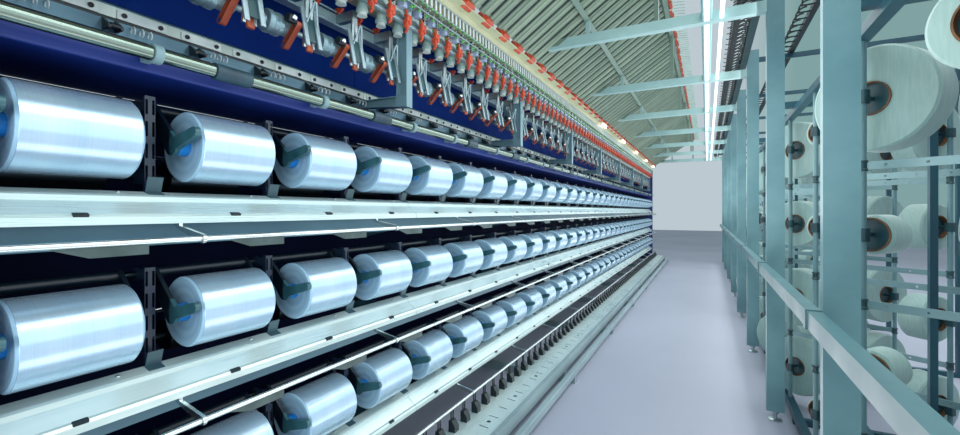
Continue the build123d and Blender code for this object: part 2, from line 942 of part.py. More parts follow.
def nip_beam():
    beam_back = nip_beam_front - nip_beam_depth
    beam_top = nip_beam_bottom + nip_beam_height
    beam = along(block(beam_back, nip_beam_front, nip_beam_bottom, beam_top), first_y, last_y)
    guide_rod = rod(guide_rod_x, guide_rod_height, guide_rod_radius, first_y, last_y)
    half_clip = rod_clip_width / 2
    clip = block(guide_rod_x - half_clip, guide_rod_x + half_clip, beam_top, guide_rod_height + 2)
    clip = plate(clip - disc(guide_rod_x, guide_rod_height, guide_rod_radius), rod_clip_width)
    rail = block(canopy_front, canopy_front + guide_rail_depth, guide_rail_rise,
                 guide_rail_rise + guide_rail_height)
    clips = at_each(clip, repeats(rod_clips_per_section))
    return [beam, guide_rod, *clips, along(rail, first_y, last_y), *nip_bearings()]


def nip_roll_shaft():
    places = repeats(feeds_per_section)
    start, end = first_y + panel_joint, last_y - panel_joint
    points = stepped_shaft(nip_shaft_radius, nip_roll_radius, nip_roll_length, places, start, end)
    return [turned(points, nip_shaft_x, nip_shaft_height)]


def apron_centres():
    """Lower and upper roller centres of an apron that leans against its roll."""
    lean = math.radians(apron_angle)
    reach = nip_roll_radius + apron_roller_radius + apron_sheet + contact_gap
    middle = (nip_shaft_x + reach * math.sin(lean), nip_shaft_height - reach * math.cos(lean))
    half = apron_span / 2
    lower = (middle[0] - half * math.cos(lean), middle[1] - half * math.sin(lean))
    upper = (middle[0] + half * math.cos(lean), middle[1] + half * math.sin(lean))
    return lower, upper


def aprons():
    lower, upper = apron_centres()
    outer = apron_roller_radius + apron_sheet
    belt = link(lower, outer, upper, outer) - link(lower, apron_roller_radius, upper, apron_roller_radius)
    return at_each(plate(belt, apron_width), repeats(feeds_per_section))


def feed_unit_brackets():
    """Strip brackets that hang from the feed beam and hold the aprons' rollers."""
    lower, upper = apron_centres()
    beam_top = nip_beam_bottom + nip_beam_height
    half_top, half_foot = strip_top_spread / 2, strip_spread / 2
    thick = strip_thickness
    frame = outline((-half_foot, strip_bottom), (-half_top, beam_top), (half_top, beam_top),
                    (half_foot, strip_bottom), (half_foot - thick, strip_bottom),
                    (0, nip_beam_bottom), (thick - half_foot, strip_bottom))
    frame = extrude(Plane.YZ * frame, amount=strip_depth / 2, both=True)
    frame = Pos(upper[0], strip_offset, 0) * frame
    head = block(nip_beam_front, upper[0] - strip_depth / 2, nip_beam_bottom + pin_radius, beam_top)
    head = Pos(0, strip_offset, 0) * plate(head, strip_top_spread)
    roller = disc(*lower, apron_roller_radius) + disc(*upper, apron_roller_radius)
    rollers = plate(roller, apron_width)
    cage_y = (apron_width + cage_plate) / 2
    cage = link(lower, pin_radius + 2, upper, pin_radius + 2)
    cage = Pos(0, cage_y, 0) * plate(cage, cage_plate)
    pin_start = apron_width / 2 + cage_plate
    leg = half_foot - (half_foot - half_top) * (upper[1] - strip_bottom) / (beam_top - strip_bottom)
    pin_end = strip_offset - leg
    pin = rod(*upper, pin_radius, pin_start, pin_end)
    unit = rollers + cage + pin + frame + head
    return at_each(unit, repeats(feeds_per_section))


# Yarn guides, spindles and bells
def yarn_guides():
    """Two rows of small guides: clips on the rod over the feed beam, and noses on the front rail."""
    rod_centre = (guide_rod_x, guide_rod_height)
    horn = (guide_rod_x + guide_width, guide_rod_height + guide_width / 2)
    clip = link(rod_centre, 2 * guide_rod_radius, horn, guide_rod_radius)
    clip = plate(clip - disc(*rod_centre, guide_rod_radius), guide_width / 2)
    face = canopy_front + guide_rail_depth
    low = guide_rail_rise
    top = guide_rail_rise + guide_height
    nose = outline(
        (face, low),
        (face, top),
        (face + 0.6 * guide_width, top + guide_width / 5),
        (face + guide_width, top - guide_width / 4),
        (face + 0.7 * guide_width, low + guide_rail_height / 2),
        (face + 0.9 * guide_width, low),
        (face + 0.5 * guide_width, low - guide_tail),
        (face + 0.2 * guide_width, low - guide_tail),
    )
    nose = plate(nose, guide_width)
    places = repeats(guides_per_section)
    return at_each(clip, places) + at_each(nose, places)


def spindle_blocks():
    """Rail under the heater casing with one spindle block and one bell guide for each yarn."""
    strap_back = canopy_front - upright_strap
    rail_top = spindle_rail_height + spindle_rail_thickness
    rail = along(block(spindle_rail_back, strap_back, spindle_rail_height, rail_top), first_y, last_y)
    half = spindle_block_depth / 2
    body = block(spindle_axis_x - half, spindle_axis_x + half, rail_top, rail_top + spindle_block_height)
    body = plate(body, spindle_block_width)
    body = chamfer(body.edges().filter_by(Axis.X).sort_by(Axis.Z)[-2:], spindle_block_height / 4)
    profile = [
        (0, -bell_height),
        (bell_radius, -bell_height),
        (0.8 * bell_radius, -0.4 * bell_height),
        (bell_stem_radius, 0),
        (bell_stem_radius, spindle_rail_height - upright_top + bell_height / 5),
        (0, spindle_rail_height - upright_top + bell_height / 5),
    ]
    bell = upright_turned(profile, bell_axis_x, upright_top - bell_height / 5)
    places = repeats(guides_per_section)
    return [rail, *at_each(body, places), *at_each(bell, places)]


def spindle_discs():
    """Friction discs stacked on a spindle between the block and the heater casing."""
    start = spindle_rail_height + spindle_rail_thickness + spindle_block_height
    end = casing_bottom
    pitch = (end - start) / (spindle_disc_count + 1)
    points = [(0, start), (spindle_shaft_radius, start)]
    for index in range(1, spindle_disc_count + 1):
        low = start + index * pitch - spindle_disc_thickness / 2
        high = low + spindle_disc_thickness
        points += [(spindle_shaft_radius, low), (spindle_disc_radius, low)]
        points += [(spindle_disc_radius, high), (spindle_shaft_radius, high)]
    points += [(spindle_shaft_radius, end), (0, end)]
    return at_each(upright_turned(points, spindle_axis_x, 0), repeats(guides_per_section))


def heater_casings():
    section = block(-half_width, casing_front, casing_bottom, casing_top)
    corner = section.vertices().sort_by(lambda v: v.X + v.Y)[-1]
    return per_section(fillet(corner, casing_round))


# Bridge
def cooling_plates():
    """Sloping grooved plates over the aisle."""
    half = plate_width / 2
    groove = plate_groove_width / 2
    depth = plate_groove_depth
    section = outline(
        (-half, 0),
        (-half, plate_thickness),
        (half, plate_thickness),
        (half, 0),
        (half / 2 + groove / 2, 0),
        (half / 2, depth),
        (groove / 2, depth),
        (0, 0),
        (-groove / 2, depth),
        (-half / 2, depth),
        (-half / 2 - groove / 2, 0),
    )
    foot = Plane(
        origin=(plate_foot_x, 0, plate_foot_height),
        x_dir=(0, 1, 0),
        z_dir=(math.cos(slope), 0, math.sin(slope)),
    )
    return at_each(extrude(foot * section, amount=plate_length), repeats(plates_per_section))


def cooling_plate_caps():
    top = plate_thickness + cap_overlap
    lower = outline(
        on_plate(-cap_length, top),
        on_plate(0, top),
        on_plate(0, -cap_overlap),
        (on_plate(0, -cap_overlap)[0], ledge_top),
        (on_plate(-cap_length, top)[0], ledge_top),
    )
    end = plate_length
    upper = outline(
        on_plate(end, top),
        on_plate(end + cap_length, top),
        on_plate(end + cap_length, -cap_overlap),
        on_plate(end, -cap_overlap),
    )
    places = repeats(plates_per_section // 2)
    return at_each(plate(lower, cap_width), places) + at_each(plate(upper, cap_width), places)


def bridge_frame():
    """Ledge and rails that carry the cooling plates, cross beams and their uprights."""
    ledge = along(block(casing_front, on_plate(0, -cap_overlap)[0], ledge_height, ledge_top),
                  first_y, last_y)
    solids = [ledge]
    tip = plate_foot_x + (beam_bottom - plate_foot_height) / math.tan(slope)
    shoulder = plate_foot_x + (cross_beam_top - plate_foot_height) / math.tan(slope)
    beam = outline((tip, beam_bottom), (shoulder, cross_beam_top), (creel_post_face, cross_beam_top),
                   (creel_post_face, beam_bottom))
    solids += at_each(plate(beam, cross_beam_width), stations(cross_beam_width))
    half = stub_width / 2
    for x in (stub_x, upper_stub_x):
        middle = (x - plate_foot_x) / math.cos(slope)
        rail = outline(
            on_plate(middle - plate_rail_width / 2, -plate_rail_depth),
            on_plate(middle - plate_rail_width / 2, 0),
            on_plate(middle + plate_rail_width / 2, 0),
            on_plate(middle + plate_rail_width / 2, -plate_rail_depth),
        )
        solids.append(along(rail, first_y, last_y))
        foot_x = x + plate_rail_depth * math.sin(slope)
        stub = outline(
            (foot_x - half, cross_beam_top),
            (foot_x - half, underside_height(foot_x - half, -plate_rail_depth)),
            (foot_x + half, underside_height(foot_x + half, -plate_rail_depth)),
            (foot_x + half, cross_beam_top),
        )
        solids += at_each(plate(stub, stub_width), stations(cross_beam_width))
    return solids


def aisle_lamps():
    """A wide and a narrow lamp between each pair of cross beams."""
    low = beam_bottom + (cross_beam_depth - lamp_height) / 2
    wide = block(-lamp_width / 2, lamp_width / 2, low, low + lamp_height)
    wide = fillet(wide.vertices().sort_by(Axis.Y)[:2], lamp_height / 4)
    start = lamp_width / 2 + lamp_gap
    narrow = block(start, start + lamp_strip_width, low, low + lamp_height / 2)
    return between_stations(wide, cross_beam_width) + between_stations(narrow, cross_beam_width)


# Creel posts and handrail
def creel_posts():
    section = block(creel_post_face, creel_post_face + creel_post_depth, foot_height, creel_post_top)
    return at_each(plate(section, creel_post_width), stations(creel_post_width))


def levelling_feet():
    points = [
        (0, 0),
        (foot_radius, 0),
        (foot_radius, foot_pad / 2),
        (foot_radius / 2, foot_pad),
        (foot_stem_radius, foot_pad),
        (foot_stem_radius, foot_height - foot_nut_height),
        (foot_nut_radius, foot_height - foot_nut_height),
        (foot_nut_radius, foot_height),
        (0, foot_height),
    ]
    middle = creel_post_face + creel_post_depth / 2
    return at_each(upright_turned(points, middle, 0), stations(creel_post_width))


def handrail():
    """Flat handrail on the creel posts, in lengths that meet inside clips at the posts."""
    front = creel_post_face - handrail_depth
    low = handrail_top - handrail_height
    rail = block(front, creel_post_face, low, handrail_top)
    clip = block(front - clip_wall, creel_post_face, low - clip_wall, handrail_top + clip_wall)
    clips = at_each(plate(clip - rail, clip_width), stations(clip_width))
    return per_section(rail, handrail_joint) + clips


# Input feed
def feed_shaft_centre():
    return creel_post_face - feed_beam_depth - feed_shaft_gap, feed_beam_bottom + feed_beam_height / 2


def feed_beam():
    front = creel_post_face - feed_beam_depth
    top = feed_beam_bottom + feed_beam_height
    beam = along(block(front, creel_post_face, feed_beam_bottom, top), first_y, last_y)
    centre = feed_shaft_centre()
    bearing = link(centre, feed_bearing_radius, (front, centre[1]), feed_bearing_radius)
    bearing &= block(0, front, feed_beam_bottom, top)
    bearing -= disc(*centre, feed_shaft_radius + running_clearance)
    return [beam, *at_each(plate(bearing, finger_thickness), stations(finger_thickness))]


def feed_roll_shaft():
    places = repeats(feeds_per_section)
    start, end = first_y + panel_joint, last_y - panel_joint
    points = stepped_shaft(feed_shaft_radius, feed_roll_radius, feed_roll_length, places, start, end)
    return [turned(points, *feed_shaft_centre())]


def feed_fingers():
    """Curved fingers round the feed rolls, with a short rod on each, and a comb over the creel."""
    front = creel_post_face - feed_beam_depth
    x, z = feed_shaft_centre()
    ring = disc(x, z, finger_outer_radius) - disc(x, z, finger_inner_radius)
    reach = 2 * finger_outer_radius
    ring -= block(front, front + reach, z - reach, z + reach)
    ring -= block(x - finger_inner_radius / 2, front, z - reach, z)
    finger = plate(ring, finger_thickness)
    rod_start = x - finger_outer_radius + 1
    rod_shape = Pos(rod_start - finger_rod_length / 2, 0, z) * Rot(0, 90, 0)
    rod_shape *= Cylinder(finger_rod_radius, finger_rod_length)
    finger = finger + rod_shape
    solids = at_each(finger, repeats(2 * feeds_per_section))
    half = comb_depth / 2
    low = upper_tie_bottom + creel_rail_height
    solids.append(along(block(comb_x - half, comb_x + half, low, low + comb_depth), first_y, last_y))
    tooth = disc(comb_x - half, low + half, 2 * comb_depth)
    tooth -= disc(comb_x - half, low + half, 1.7 * comb_depth)
    tooth &= block(comb_x - 4 * comb_depth, comb_x - half, low, low + 3 * comb_depth)
    foot = block(comb_x - 2.7 * comb_depth, comb_x - half, low, low + half / 2)
    tooth = plate(tooth + foot, finger_thickness)
    return solids + at_each(tooth, repeats(2 * feeds_per_section))


# Creel
def columns(layer):
    """Y of the columns of one layer."""
    return repeats(columns_per_section, creel_layers[layer][1])


def creel_tubes():
    height = creel_tube_top - creel_tube_bottom
    tube = Pos(0, 0, creel_tube_bottom + height / 2) * Cylinder(creel_tube_radius, height)
    solids = []
    for layer, (x, _, _) in enumerate(creel_layers):
        solids += at_each(Pos(x, 0, 0) * tube, columns(layer))
    return solids


def peg_places():
    """Place and package radius of every peg; a peg points along X from the axis of its tube."""
    places = []
    for layer, (x, _, turn) in enumerate(creel_layers):
        repeat = supply_radii[layer]
        for index, y in enumerate(columns(layer)):
            for height, radius in zip(peg_heights, repeat[index % len(repeat)]):
                places.append((Pos(x, y, height) * Rot(0, 0, turn), radius))
    return places


def along_x(radius, start, end):
    return Pos((start + end) / 2, 0, 0) * Rot(0, 90, 0) * Cylinder(radius, end - start)


def creel_pegs():
    """A clamp on the upright tube with a peg and two discs that hold the paper tube."""
    clamp = Box(peg_clamp_width, peg_clamp_width, peg_clamp_height)
    peg = fillet(clamp.edges().filter_by(Axis.Z), peg_clamp_width / 5)
    peg += along_x(peg_radius, 0, paper_tube_end)
    bore = paper_tube_radius - paper_tube_wall
    first_disc = paper_tube_start + peg_disc_inset
    last_disc = paper_tube_end - peg_disc_inset - peg_disc_thickness
    for start in (first_disc, last_disc):
        peg += along_x(bore, start, start + peg_disc_thickness)
    peg -= Cylinder(creel_tube_radius, 2 * peg_clamp_height)
    return [place * peg for place, _ in peg_places()]


def paper_tubes():
    tube = along_x(paper_tube_radius, paper_tube_start, paper_tube_end)
    tube -= along_x(paper_tube_radius - paper_tube_wall, paper_tube_start, paper_tube_end)
    return [place * tube for place, radius in peg_places() if radius > 0]


def supply_package(radius):
    middle = (paper_tube_start + paper_tube_end) / 2
    half = supply_length / 2
    points = [
        (-half, paper_tube_radius),
        (-half, radius - supply_edge),
        (supply_edge - half, radius),
        (half - supply_edge, radius),
        (half, radius - supply_edge),
        (half, paper_tube_radius),
    ]
    profile = Plane.XZ * outline(*points)
    return Pos(middle, 0, 0) * revolve(profile, axis=Axis.X)


def supply_packages():
    """Supply packages, full or part used, on the pegs that hold one."""
    pegs = [(place, radius) for place, radius in peg_places() if radius > 0]
    shapes = {radius: supply_package(radius) for _, radius in pegs}
    return [place * shapes[radius] for place, radius in pegs]


def creel_guide_bars():
    """Flat bars with guide holes from each inner tube back to the outer tube before it."""
    (inner_x, inner_offset, _), (outer_x, outer_offset, _) = creel_layers
    reach_x = outer_x - inner_x
    reach_y = outer_offset - inner_offset - section_pitch / columns_per_section
    end = math.hypot(reach_x, reach_y) - creel_tube_radius
    half = guide_bar_height / 2
    section = block(creel_tube_radius, end, -half, half)
    count = int((end - creel_tube_radius) // guide_bar_hole_pitch)
    for index in range(count):
        hole = creel_tube_radius + (index + 0.5) * guide_bar_hole_pitch
        section -= disc(hole, 0, guide_bar_hole_radius)
    turn = math.degrees(math.atan2(reach_y, reach_x))
    bar = Rot(0, 0, turn) * plate(section, guide_bar_thickness)
    solids = []
    for low, high in zip(peg_heights, peg_heights[1:]):
        solids += at_each(Pos(inner_x, 0, (low + high) / 2) * bar, columns(0)[1:])
    return solids


def creel_frame():
    """Sleepers, base and top rails, ties to the creel posts, and inner and outer posts."""
    outer = half_width - creel_outer_post
    first_edge = creel_layers[0][0] - creel_base_rail / 2
    post_back = creel_post_face + creel_post_depth
    places = stations(creel_post_width)
    sleeper = block(first_edge, outer, 0, creel_sleeper_height)
    tie_bottom = creel_tube_top + creel_rail_height
    tie = block(post_back, outer, tie_bottom, tie_bottom + creel_rail_height)
    upper_tie = block(post_back, outer, upper_tie_bottom, upper_tie_bottom + creel_rail_height)
    outer_post = block(outer, half_width, 0, upper_tie_bottom + creel_rail_height)
    solids = []
    for section in (sleeper, tie, upper_tie, outer_post):
        solids += at_each(plate(section, creel_post_width), places)
    rails = [(x, creel_base_rail / 2) for x, _, _ in creel_layers]
    for x, half in (*rails, (creel_inner_post_x, creel_inner_post / 2)):
        base = block(x - half, x + half, creel_sleeper_height, creel_tube_bottom)
        top = block(x - half, x + half, creel_tube_top, tie_bottom)
        solids += [along(base, first_y, last_y), along(top, first_y, last_y)]
    half = creel_inner_post / 2
    low_x, high_x = creel_inner_post_x - half, creel_inner_post_x + half
    inner = block(low_x, high_x, creel_tube_bottom, creel_tube_top)
    solids += at_each(plate(inner, creel_inner_post), at_offsets((creel_inner_offset,)))
    return solids


def write_part(name, shapes):
    solids = [solid for shape in shapes for solid in shape.solids()]
    export_step(Compound(children=solids), os.path.join("parts", f"{name}.step"))


def main():
    os.makedirs("parts", exist_ok=True)
    fixed_parts = (
        base_frame, section_posts, end_panels, back_panels, slotted_tray, thread_sensors,
        shelf_beams, shelf_panels, shelf_flaps, winding_posts, cradle_rods, parked_cradles,
        guard_bars, guard_flaps, canopy_beam, suction_tube, tube_clamps, guide_profile,
        guide_brackets, upright_brackets, nip_beam, nip_roll_shaft, aprons, feed_unit_brackets,
        yarn_guides, spindle_blocks, spindle_discs, heater_casings, cooling_plates,
        cooling_plate_caps, bridge_frame, aisle_lamps, creel_posts, levelling_feet, handrail,
        feed_beam, feed_roll_shaft, feed_fingers, creel_tubes, creel_pegs, paper_tubes,
        supply_packages, creel_guide_bars, creel_frame,
    )
    for part in fixed_parts:
        write_part(part.__name__, part())
    for tier, name in enumerate(tier_names):
        write_part(f"{name}_drum_shaft", drum_shaft(tier))
        write_part(f"{name}_traverse_rod", traverse_rod(tier))
        write_part(f"{name}_package_row", package_row(tier))
        write_part(f"{name}_cradle", lifting_cradle(tier))
        write_part(f"{name}_package", lifting_package(tier))
    write_part("top_tube", winding_tube(len(tier_names) - 1))


if __name__ == "__main__":
    main()
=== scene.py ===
"""Looks of a yarn texturing machine: materials, small hardware, light and camera.

Metres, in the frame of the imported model: X across the aisle with the bank at negative X,
Y along the machine with its middle at 0, Z up from the floor. A place in the machine's
cross section is written (x, z), and a colour is three sRGB numbers from 0 to 255.
"""

import json
import math

import bmesh
import bpy
import numpy as np
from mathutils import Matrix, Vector


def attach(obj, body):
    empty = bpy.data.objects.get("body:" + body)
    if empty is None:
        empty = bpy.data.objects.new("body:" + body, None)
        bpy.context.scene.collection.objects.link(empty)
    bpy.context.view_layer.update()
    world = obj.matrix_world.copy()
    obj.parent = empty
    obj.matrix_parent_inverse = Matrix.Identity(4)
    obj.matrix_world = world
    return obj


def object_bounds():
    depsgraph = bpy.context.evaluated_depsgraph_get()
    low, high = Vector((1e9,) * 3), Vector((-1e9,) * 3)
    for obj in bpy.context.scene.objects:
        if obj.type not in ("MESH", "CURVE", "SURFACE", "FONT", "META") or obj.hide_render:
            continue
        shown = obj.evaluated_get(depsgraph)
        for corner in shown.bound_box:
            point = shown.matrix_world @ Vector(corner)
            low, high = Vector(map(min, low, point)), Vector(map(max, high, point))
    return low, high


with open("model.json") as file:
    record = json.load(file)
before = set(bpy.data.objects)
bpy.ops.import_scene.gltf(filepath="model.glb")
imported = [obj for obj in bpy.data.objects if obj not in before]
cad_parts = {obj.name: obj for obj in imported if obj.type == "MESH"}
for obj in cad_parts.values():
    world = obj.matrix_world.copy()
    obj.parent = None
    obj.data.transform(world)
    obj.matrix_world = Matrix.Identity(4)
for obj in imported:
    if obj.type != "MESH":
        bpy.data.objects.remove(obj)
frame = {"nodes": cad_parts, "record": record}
nodes = frame["nodes"]
cad_low, cad_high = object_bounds()

# Section layout, with the machine's length read from the frame
SECTION_PITCH = 1.6
END_PANEL = 0.04
FIRST_Y = cad_low.y + END_PANEL
SECTIONS = round((cad_high.y - FIRST_Y) / SECTION_PITCH)
LENGTH = SECTIONS * SECTION_PITCH
MIDDLE_Y = FIRST_Y + LENGTH / 2

# How many of each stand in a section
POSITIONS = 4
FEED_UNITS = 6
PROFILE_PLATES = 8
SPINDLES = 12
COOLING_PLATES = 12
CAP_NOSES = 6
PADDLES = 36
FEED_HOOKS = 36

# Take-up bank
PACKAGE_X = -1.45
TIER_HEIGHTS = {"lower": 0.570, "middle": 1.085, "top": 1.600}
TUBE_RADIUS = 0.028
PACKAGE_RADIUS = 0.110

# Feed units, spindles and input feed
NIP_SHAFT = (-1.556, 2.160)
SPINDLE_X = -1.462
FEED_SHAFT = (0.262, 2.900)

# Cooling plates, which rise over the aisle from their foot, by a slope in degrees
PLATE_FOOT = (-1.280, 2.670)
PLATE_SLOPE = 34.0

# The photograph: 960 x 435 pixels, taken with a level camera turned to the left of the aisle
IMAGE_WIDTH = 960
FOCAL_PIXELS = 434.0
HORIZON_ROW = 211.0
MIDDLE_ROW = 217.5
EYE_HEIGHT = 1.40
EYE_BACK = 0.296
CAMERA_YAW = 27.6
SENSOR = 36.0

# Sockets of a Mix node that mixes colours
MIX_FACTOR, MIX_LOW, MIX_HIGH, MIX_RESULT = 0, 6, 7, 2


def new_node(tree, kind, settings=None, sockets=None):
    """Adds a shader node: its settings first, then the value or the link of each socket."""
    node = tree.nodes.new(kind)
    for key, value in (settings or {}).items():
        setattr(node, key, value)
    for key, value in (sockets or {}).items():
        source = getattr(value, "socket", value)
        if isinstance(source, bpy.types.NodeSocket):
            tree.links.new(source, node.inputs[key])
        else:
            node.inputs[key].default_value = source
    return node


def linear(colour):
    """Linear RGBA of a colour: c / 12.92 near black, else ((c + 0.055) / 1.055) to the power 2.4."""
    share = [c / 255 for c in colour]
    return (*[c / 12.92 if c <= 0.04045 else ((c + 0.055) / 1.055) ** 2.4 for c in share], 1.0)


def mixed(tree, low, high, factor):
    """A socket with low where factor is 0 and high where it is 1, each a colour or a socket."""
    low, high = [linear(c) if isinstance(c, tuple) else c for c in (low, high)]
    sockets = {MIX_FACTOR: factor, MIX_LOW: low, MIX_HIGH: high}
    return new_node(tree, "ShaderNodeMix", {"data_type": "RGBA"}, sockets).outputs[MIX_RESULT]


class Value:
    """A shader value; an expression on it adds Math nodes to its node tree."""

    def __init__(self, tree, socket):
        self.tree = tree
        self.socket = socket

    def math(self, operation, *others):
        """A Math node on this value and the others, each a Value or a number."""
        sockets = dict(enumerate((self, *others)))
        node = new_node(self.tree, "ShaderNodeMath", {"operation": operation}, sockets)
        return Value(self.tree, node.outputs[0])

    def __add__(self, other):
        return self.math("ADD", other)

    def __sub__(self, other):
        return self.math("SUBTRACT", other)

    def __rsub__(self, other):
        return self.math("MULTIPLY_ADD", -1.0, other)

    def __mul__(self, other):
        return self.math("MULTIPLY", other)

    def __truediv__(self, other):
        return self.math("DIVIDE", other)

    __radd__ = __add__
    __rmul__ = __mul__

    def above(self, limit):
        return self.math("GREATER_THAN", limit)

    def below(self, limit):
        return self.math("LESS_THAN", limit)

    def between(self, low, high):
        return self.above(low) * self.below(high)

    def step(self, low, high):
        """0 below low, 1 above high and straight between them."""
        sockets = {"Value": self, "From Min": low, "From Max": high}
        node = new_node(self.tree, "ShaderNodeMapRange", sockets=sockets)
        return Value(self.tree, node.outputs["Result"])


class Surface:
    """A material around one Principled shader, in object coordinates."""

    def __init__(self, name, roughness=0.5, metallic=0.0, **constants):
        self.material = bpy.data.materials.new(name)
        self.material.use_nodes = True
        self.tree = self.material.node_tree
        self.shader = self.tree.nodes["Principled BSDF"]
        for key, value in {"Roughness": roughness, "Metallic": metallic, **constants}.items():
            self.shader.inputs[key.replace("_", " ")].default_value = value
        self.place = new_node(self.tree, "ShaderNodeTexCoord").outputs["Object"]
        split = new_node(self.tree, "ShaderNodeSeparateXYZ", sockets={0: self.place})
        self.x, self.y, self.z = [Value(self.tree, out) for out in split.outputs]

    def noise(self, scale, detail=3.0, roughness=0.5):
        """Noise from 0 to 1 with its own scale, in cycles per metre, along each axis."""
        scaled = new_node(self.tree, "ShaderNodeMapping", sockets={"Vector": self.place, "Scale": scale})
        sockets = {"Vector": scaled.outputs[0], "Scale": 1.0, "Detail": detail, "Roughness": roughness}
        return Value(self.tree, new_node(self.tree, "ShaderNodeTexNoise", sockets=sockets).outputs[0])

    def radius(self, x, z):
        """Distance from a line along Y: the root of the sum of both squares."""
        across, up = self.x - x, self.z - z
        return (across * across + up * up).math("SQRT")

    def blend(self, low, high, factor):
        return mixed(self.tree, low, high, factor)

    def colour(self, low, high, factor):
        self.tree.links.new(self.blend(low, high, factor), self.shader.inputs["Base Color"])
        return self

    def drive(self, name, value):
        """Links a Value or a socket to the shader."""
        self.tree.links.new(getattr(value, "socket", value), self.shader.inputs[name])
        return self

    def bump(self, height, distance, strength):
        sockets = {"Height": height, "Distance": distance, "Strength": strength}
        return self.drive("Normal", new_node(self.tree, "ShaderNodeBump", sockets=sockets).outputs[0])

    def zoned(self, colour, zone):
        """Repaints the part of the surface where zone is 1."""
        under = self.shader.inputs["Base Color"].links[0].from_socket
        return self.colour(under, colour, zone)


# Finishes that many pieces have; the two colours are the extremes of their uneven tone
def painted(name, low, high, roughness=0.45, coat=0.15):
    """Satin paint: faint orange peel, uneven tone and a little grime."""
    s = Surface(name, roughness, Coat_Weight=coat, Coat_Roughness=0.3)
    cloud = s.noise((2.0, 1.1, 2.4), 5.0, 0.6)
    s.colour(low, high, cloud.step(0.3, 0.7))
    s.drive("Roughness", 0.2 * s.noise((9.0, 7.0, 9.0)) + (roughness - 0.1))
    return s.bump(s.noise((420.0, 420.0, 420.0), 1.0), 0.0002, 0.25)


def brushed(name, low, high, roughness=0.32, metallic=1.0):
    """Metal with drawing lines along Y and soft stains."""
    s = Surface(name, roughness, metallic)
    lines = s.noise((900.0, 6.0, 900.0), 2.0)
    stain = s.noise((3.0, 2.0, 4.0), 4.0, 0.6)
    s.colour(low, high, (0.5 * lines + 0.6 * stain).step(0.25, 0.8))
    s.drive("Roughness", 0.16 * lines + 0.12 * stain + (roughness - 0.14))
    return s.bump(lines, 0.0002, 0.3)


def plastic(name, low, high, roughness=0.5):
    """Moulded plastic, rubber or a fine casting: small clouds of tone and a grain of about 1.5 mm."""
    s = Surface(name, roughness)
    s.colour(low, high, s.noise((14.0, 14.0, 14.0), 4.0).step(0.3, 0.7))
    s.drive("Roughness", 0.2 * s.noise((60.0, 60.0, 60.0)) + (roughness - 0.1))
    return s.bump(s.noise((700.0, 700.0, 700.0), 1.0), 0.0002, 0.3)


def wound_yarn(name, axis_height):
    """Silky yarn on a blue tube: faint bands across Y on the body and rings on the dull ends."""
    s = Surface(name, 0.26, 0.55)
    radius = s.radius(PACKAGE_X, axis_height)
    end = radius.below(PACKAGE_RADIUS - 0.0009)
    tube = radius.below(TUBE_RADIUS + 0.0006)
    bands = s.noise((2.0, 320.0, 2.0), 3.0, 0.6)
    broad = s.noise((1.0, 18.0, 1.0), 2.0)
    tone = (0.5 * bands + 0.5 * broad).step(0.25, 0.75)
    body = s.blend((160, 192, 218), (188, 211, 228), tone)
    wide_rings = (210.0 * radius).math("SINE").step(-1.6, 1.6)
    face = s.blend((138, 180, 207), (168, 202, 222), wide_rings)
    s.drive("Base Color", s.blend(s.blend(body, face, end), (14, 126, 205), tube))
    s.drive("Metallic", 0.68 - 0.55 * end)
    s.drive("Roughness", 0.20 + 0.08 * bands + 0.10 * end)
    fine_rings = (4200.0 * radius).math("SINE") * end
    threads = (5200.0 * s.y).math("SINE")
    return s.bump(0.5 * fine_rings + 0.12 * threads + 0.25 * bands, 0.0006, 0.5)


def supply_yarn():
    """Matt supply yarn: soft clouds of tone and fine lines across X."""
    s = Surface("supply_yarn", 0.62, Sheen_Weight=0.3)
    soft = s.noise((3.0, 3.0, 3.0), 4.0)
    fine = s.noise((140.0, 14.0, 14.0), 3.0)
    s.colour((124, 158, 154), (158, 186, 180), (0.6 * soft + 0.4 * fine).step(0.3, 0.7))
    return s.bump(fine, 0.0008, 0.4)


def cooling_metal():
    """Olive grey plates, each a little different, with three ridges to a plate and painted shade in the
    troughs between them.
    """
    s = Surface("cooling_metal", 0.45, 0.35)
    plate = s.noise((0.4, 7.5, 0.4), 1.0)
    spot = s.noise((6.0, 6.0, 6.0), 4.0)
    ridge_pitch = SECTION_PITCH / COOLING_PLATES / 3
    ridge = (s.y * (2 * math.pi / ridge_pitch)).math("COSINE")
    # The tone follows the ridges too: lighter on each crest and darker in each trough, a painted shade
    # in the grooves.
    tone = (0.5 * plate + 0.3 * spot + 0.16 * ridge + 0.1).step(0.25, 0.8)
    s.colour((98, 118, 106), (160, 176, 154), tone)
    s.drive("Roughness", 0.2 * spot + 0.36)
    return s.bump(ridge, 0.003, 0.5)


def glowing(name, housing, colour, strength, half_width):
    """A lamp: its diffuser glows within half_width of the aisle's middle and past gap_end."""
    gap_end = 0.060
    s = Surface(name, 0.4)
    dark = s.x.math("ABSOLUTE").above(half_width) * s.x.below(gap_end)
    light = s.blend(colour, (255, 255, 255), s.noise((2.0, 2.0, 2.0), 2.0))
    s.colour(light, housing, dark)
    s.shader.inputs["Emission Strength"].default_value = strength
    return s.drive("Emission Color", s.blend(light, (0, 0, 0), dark))


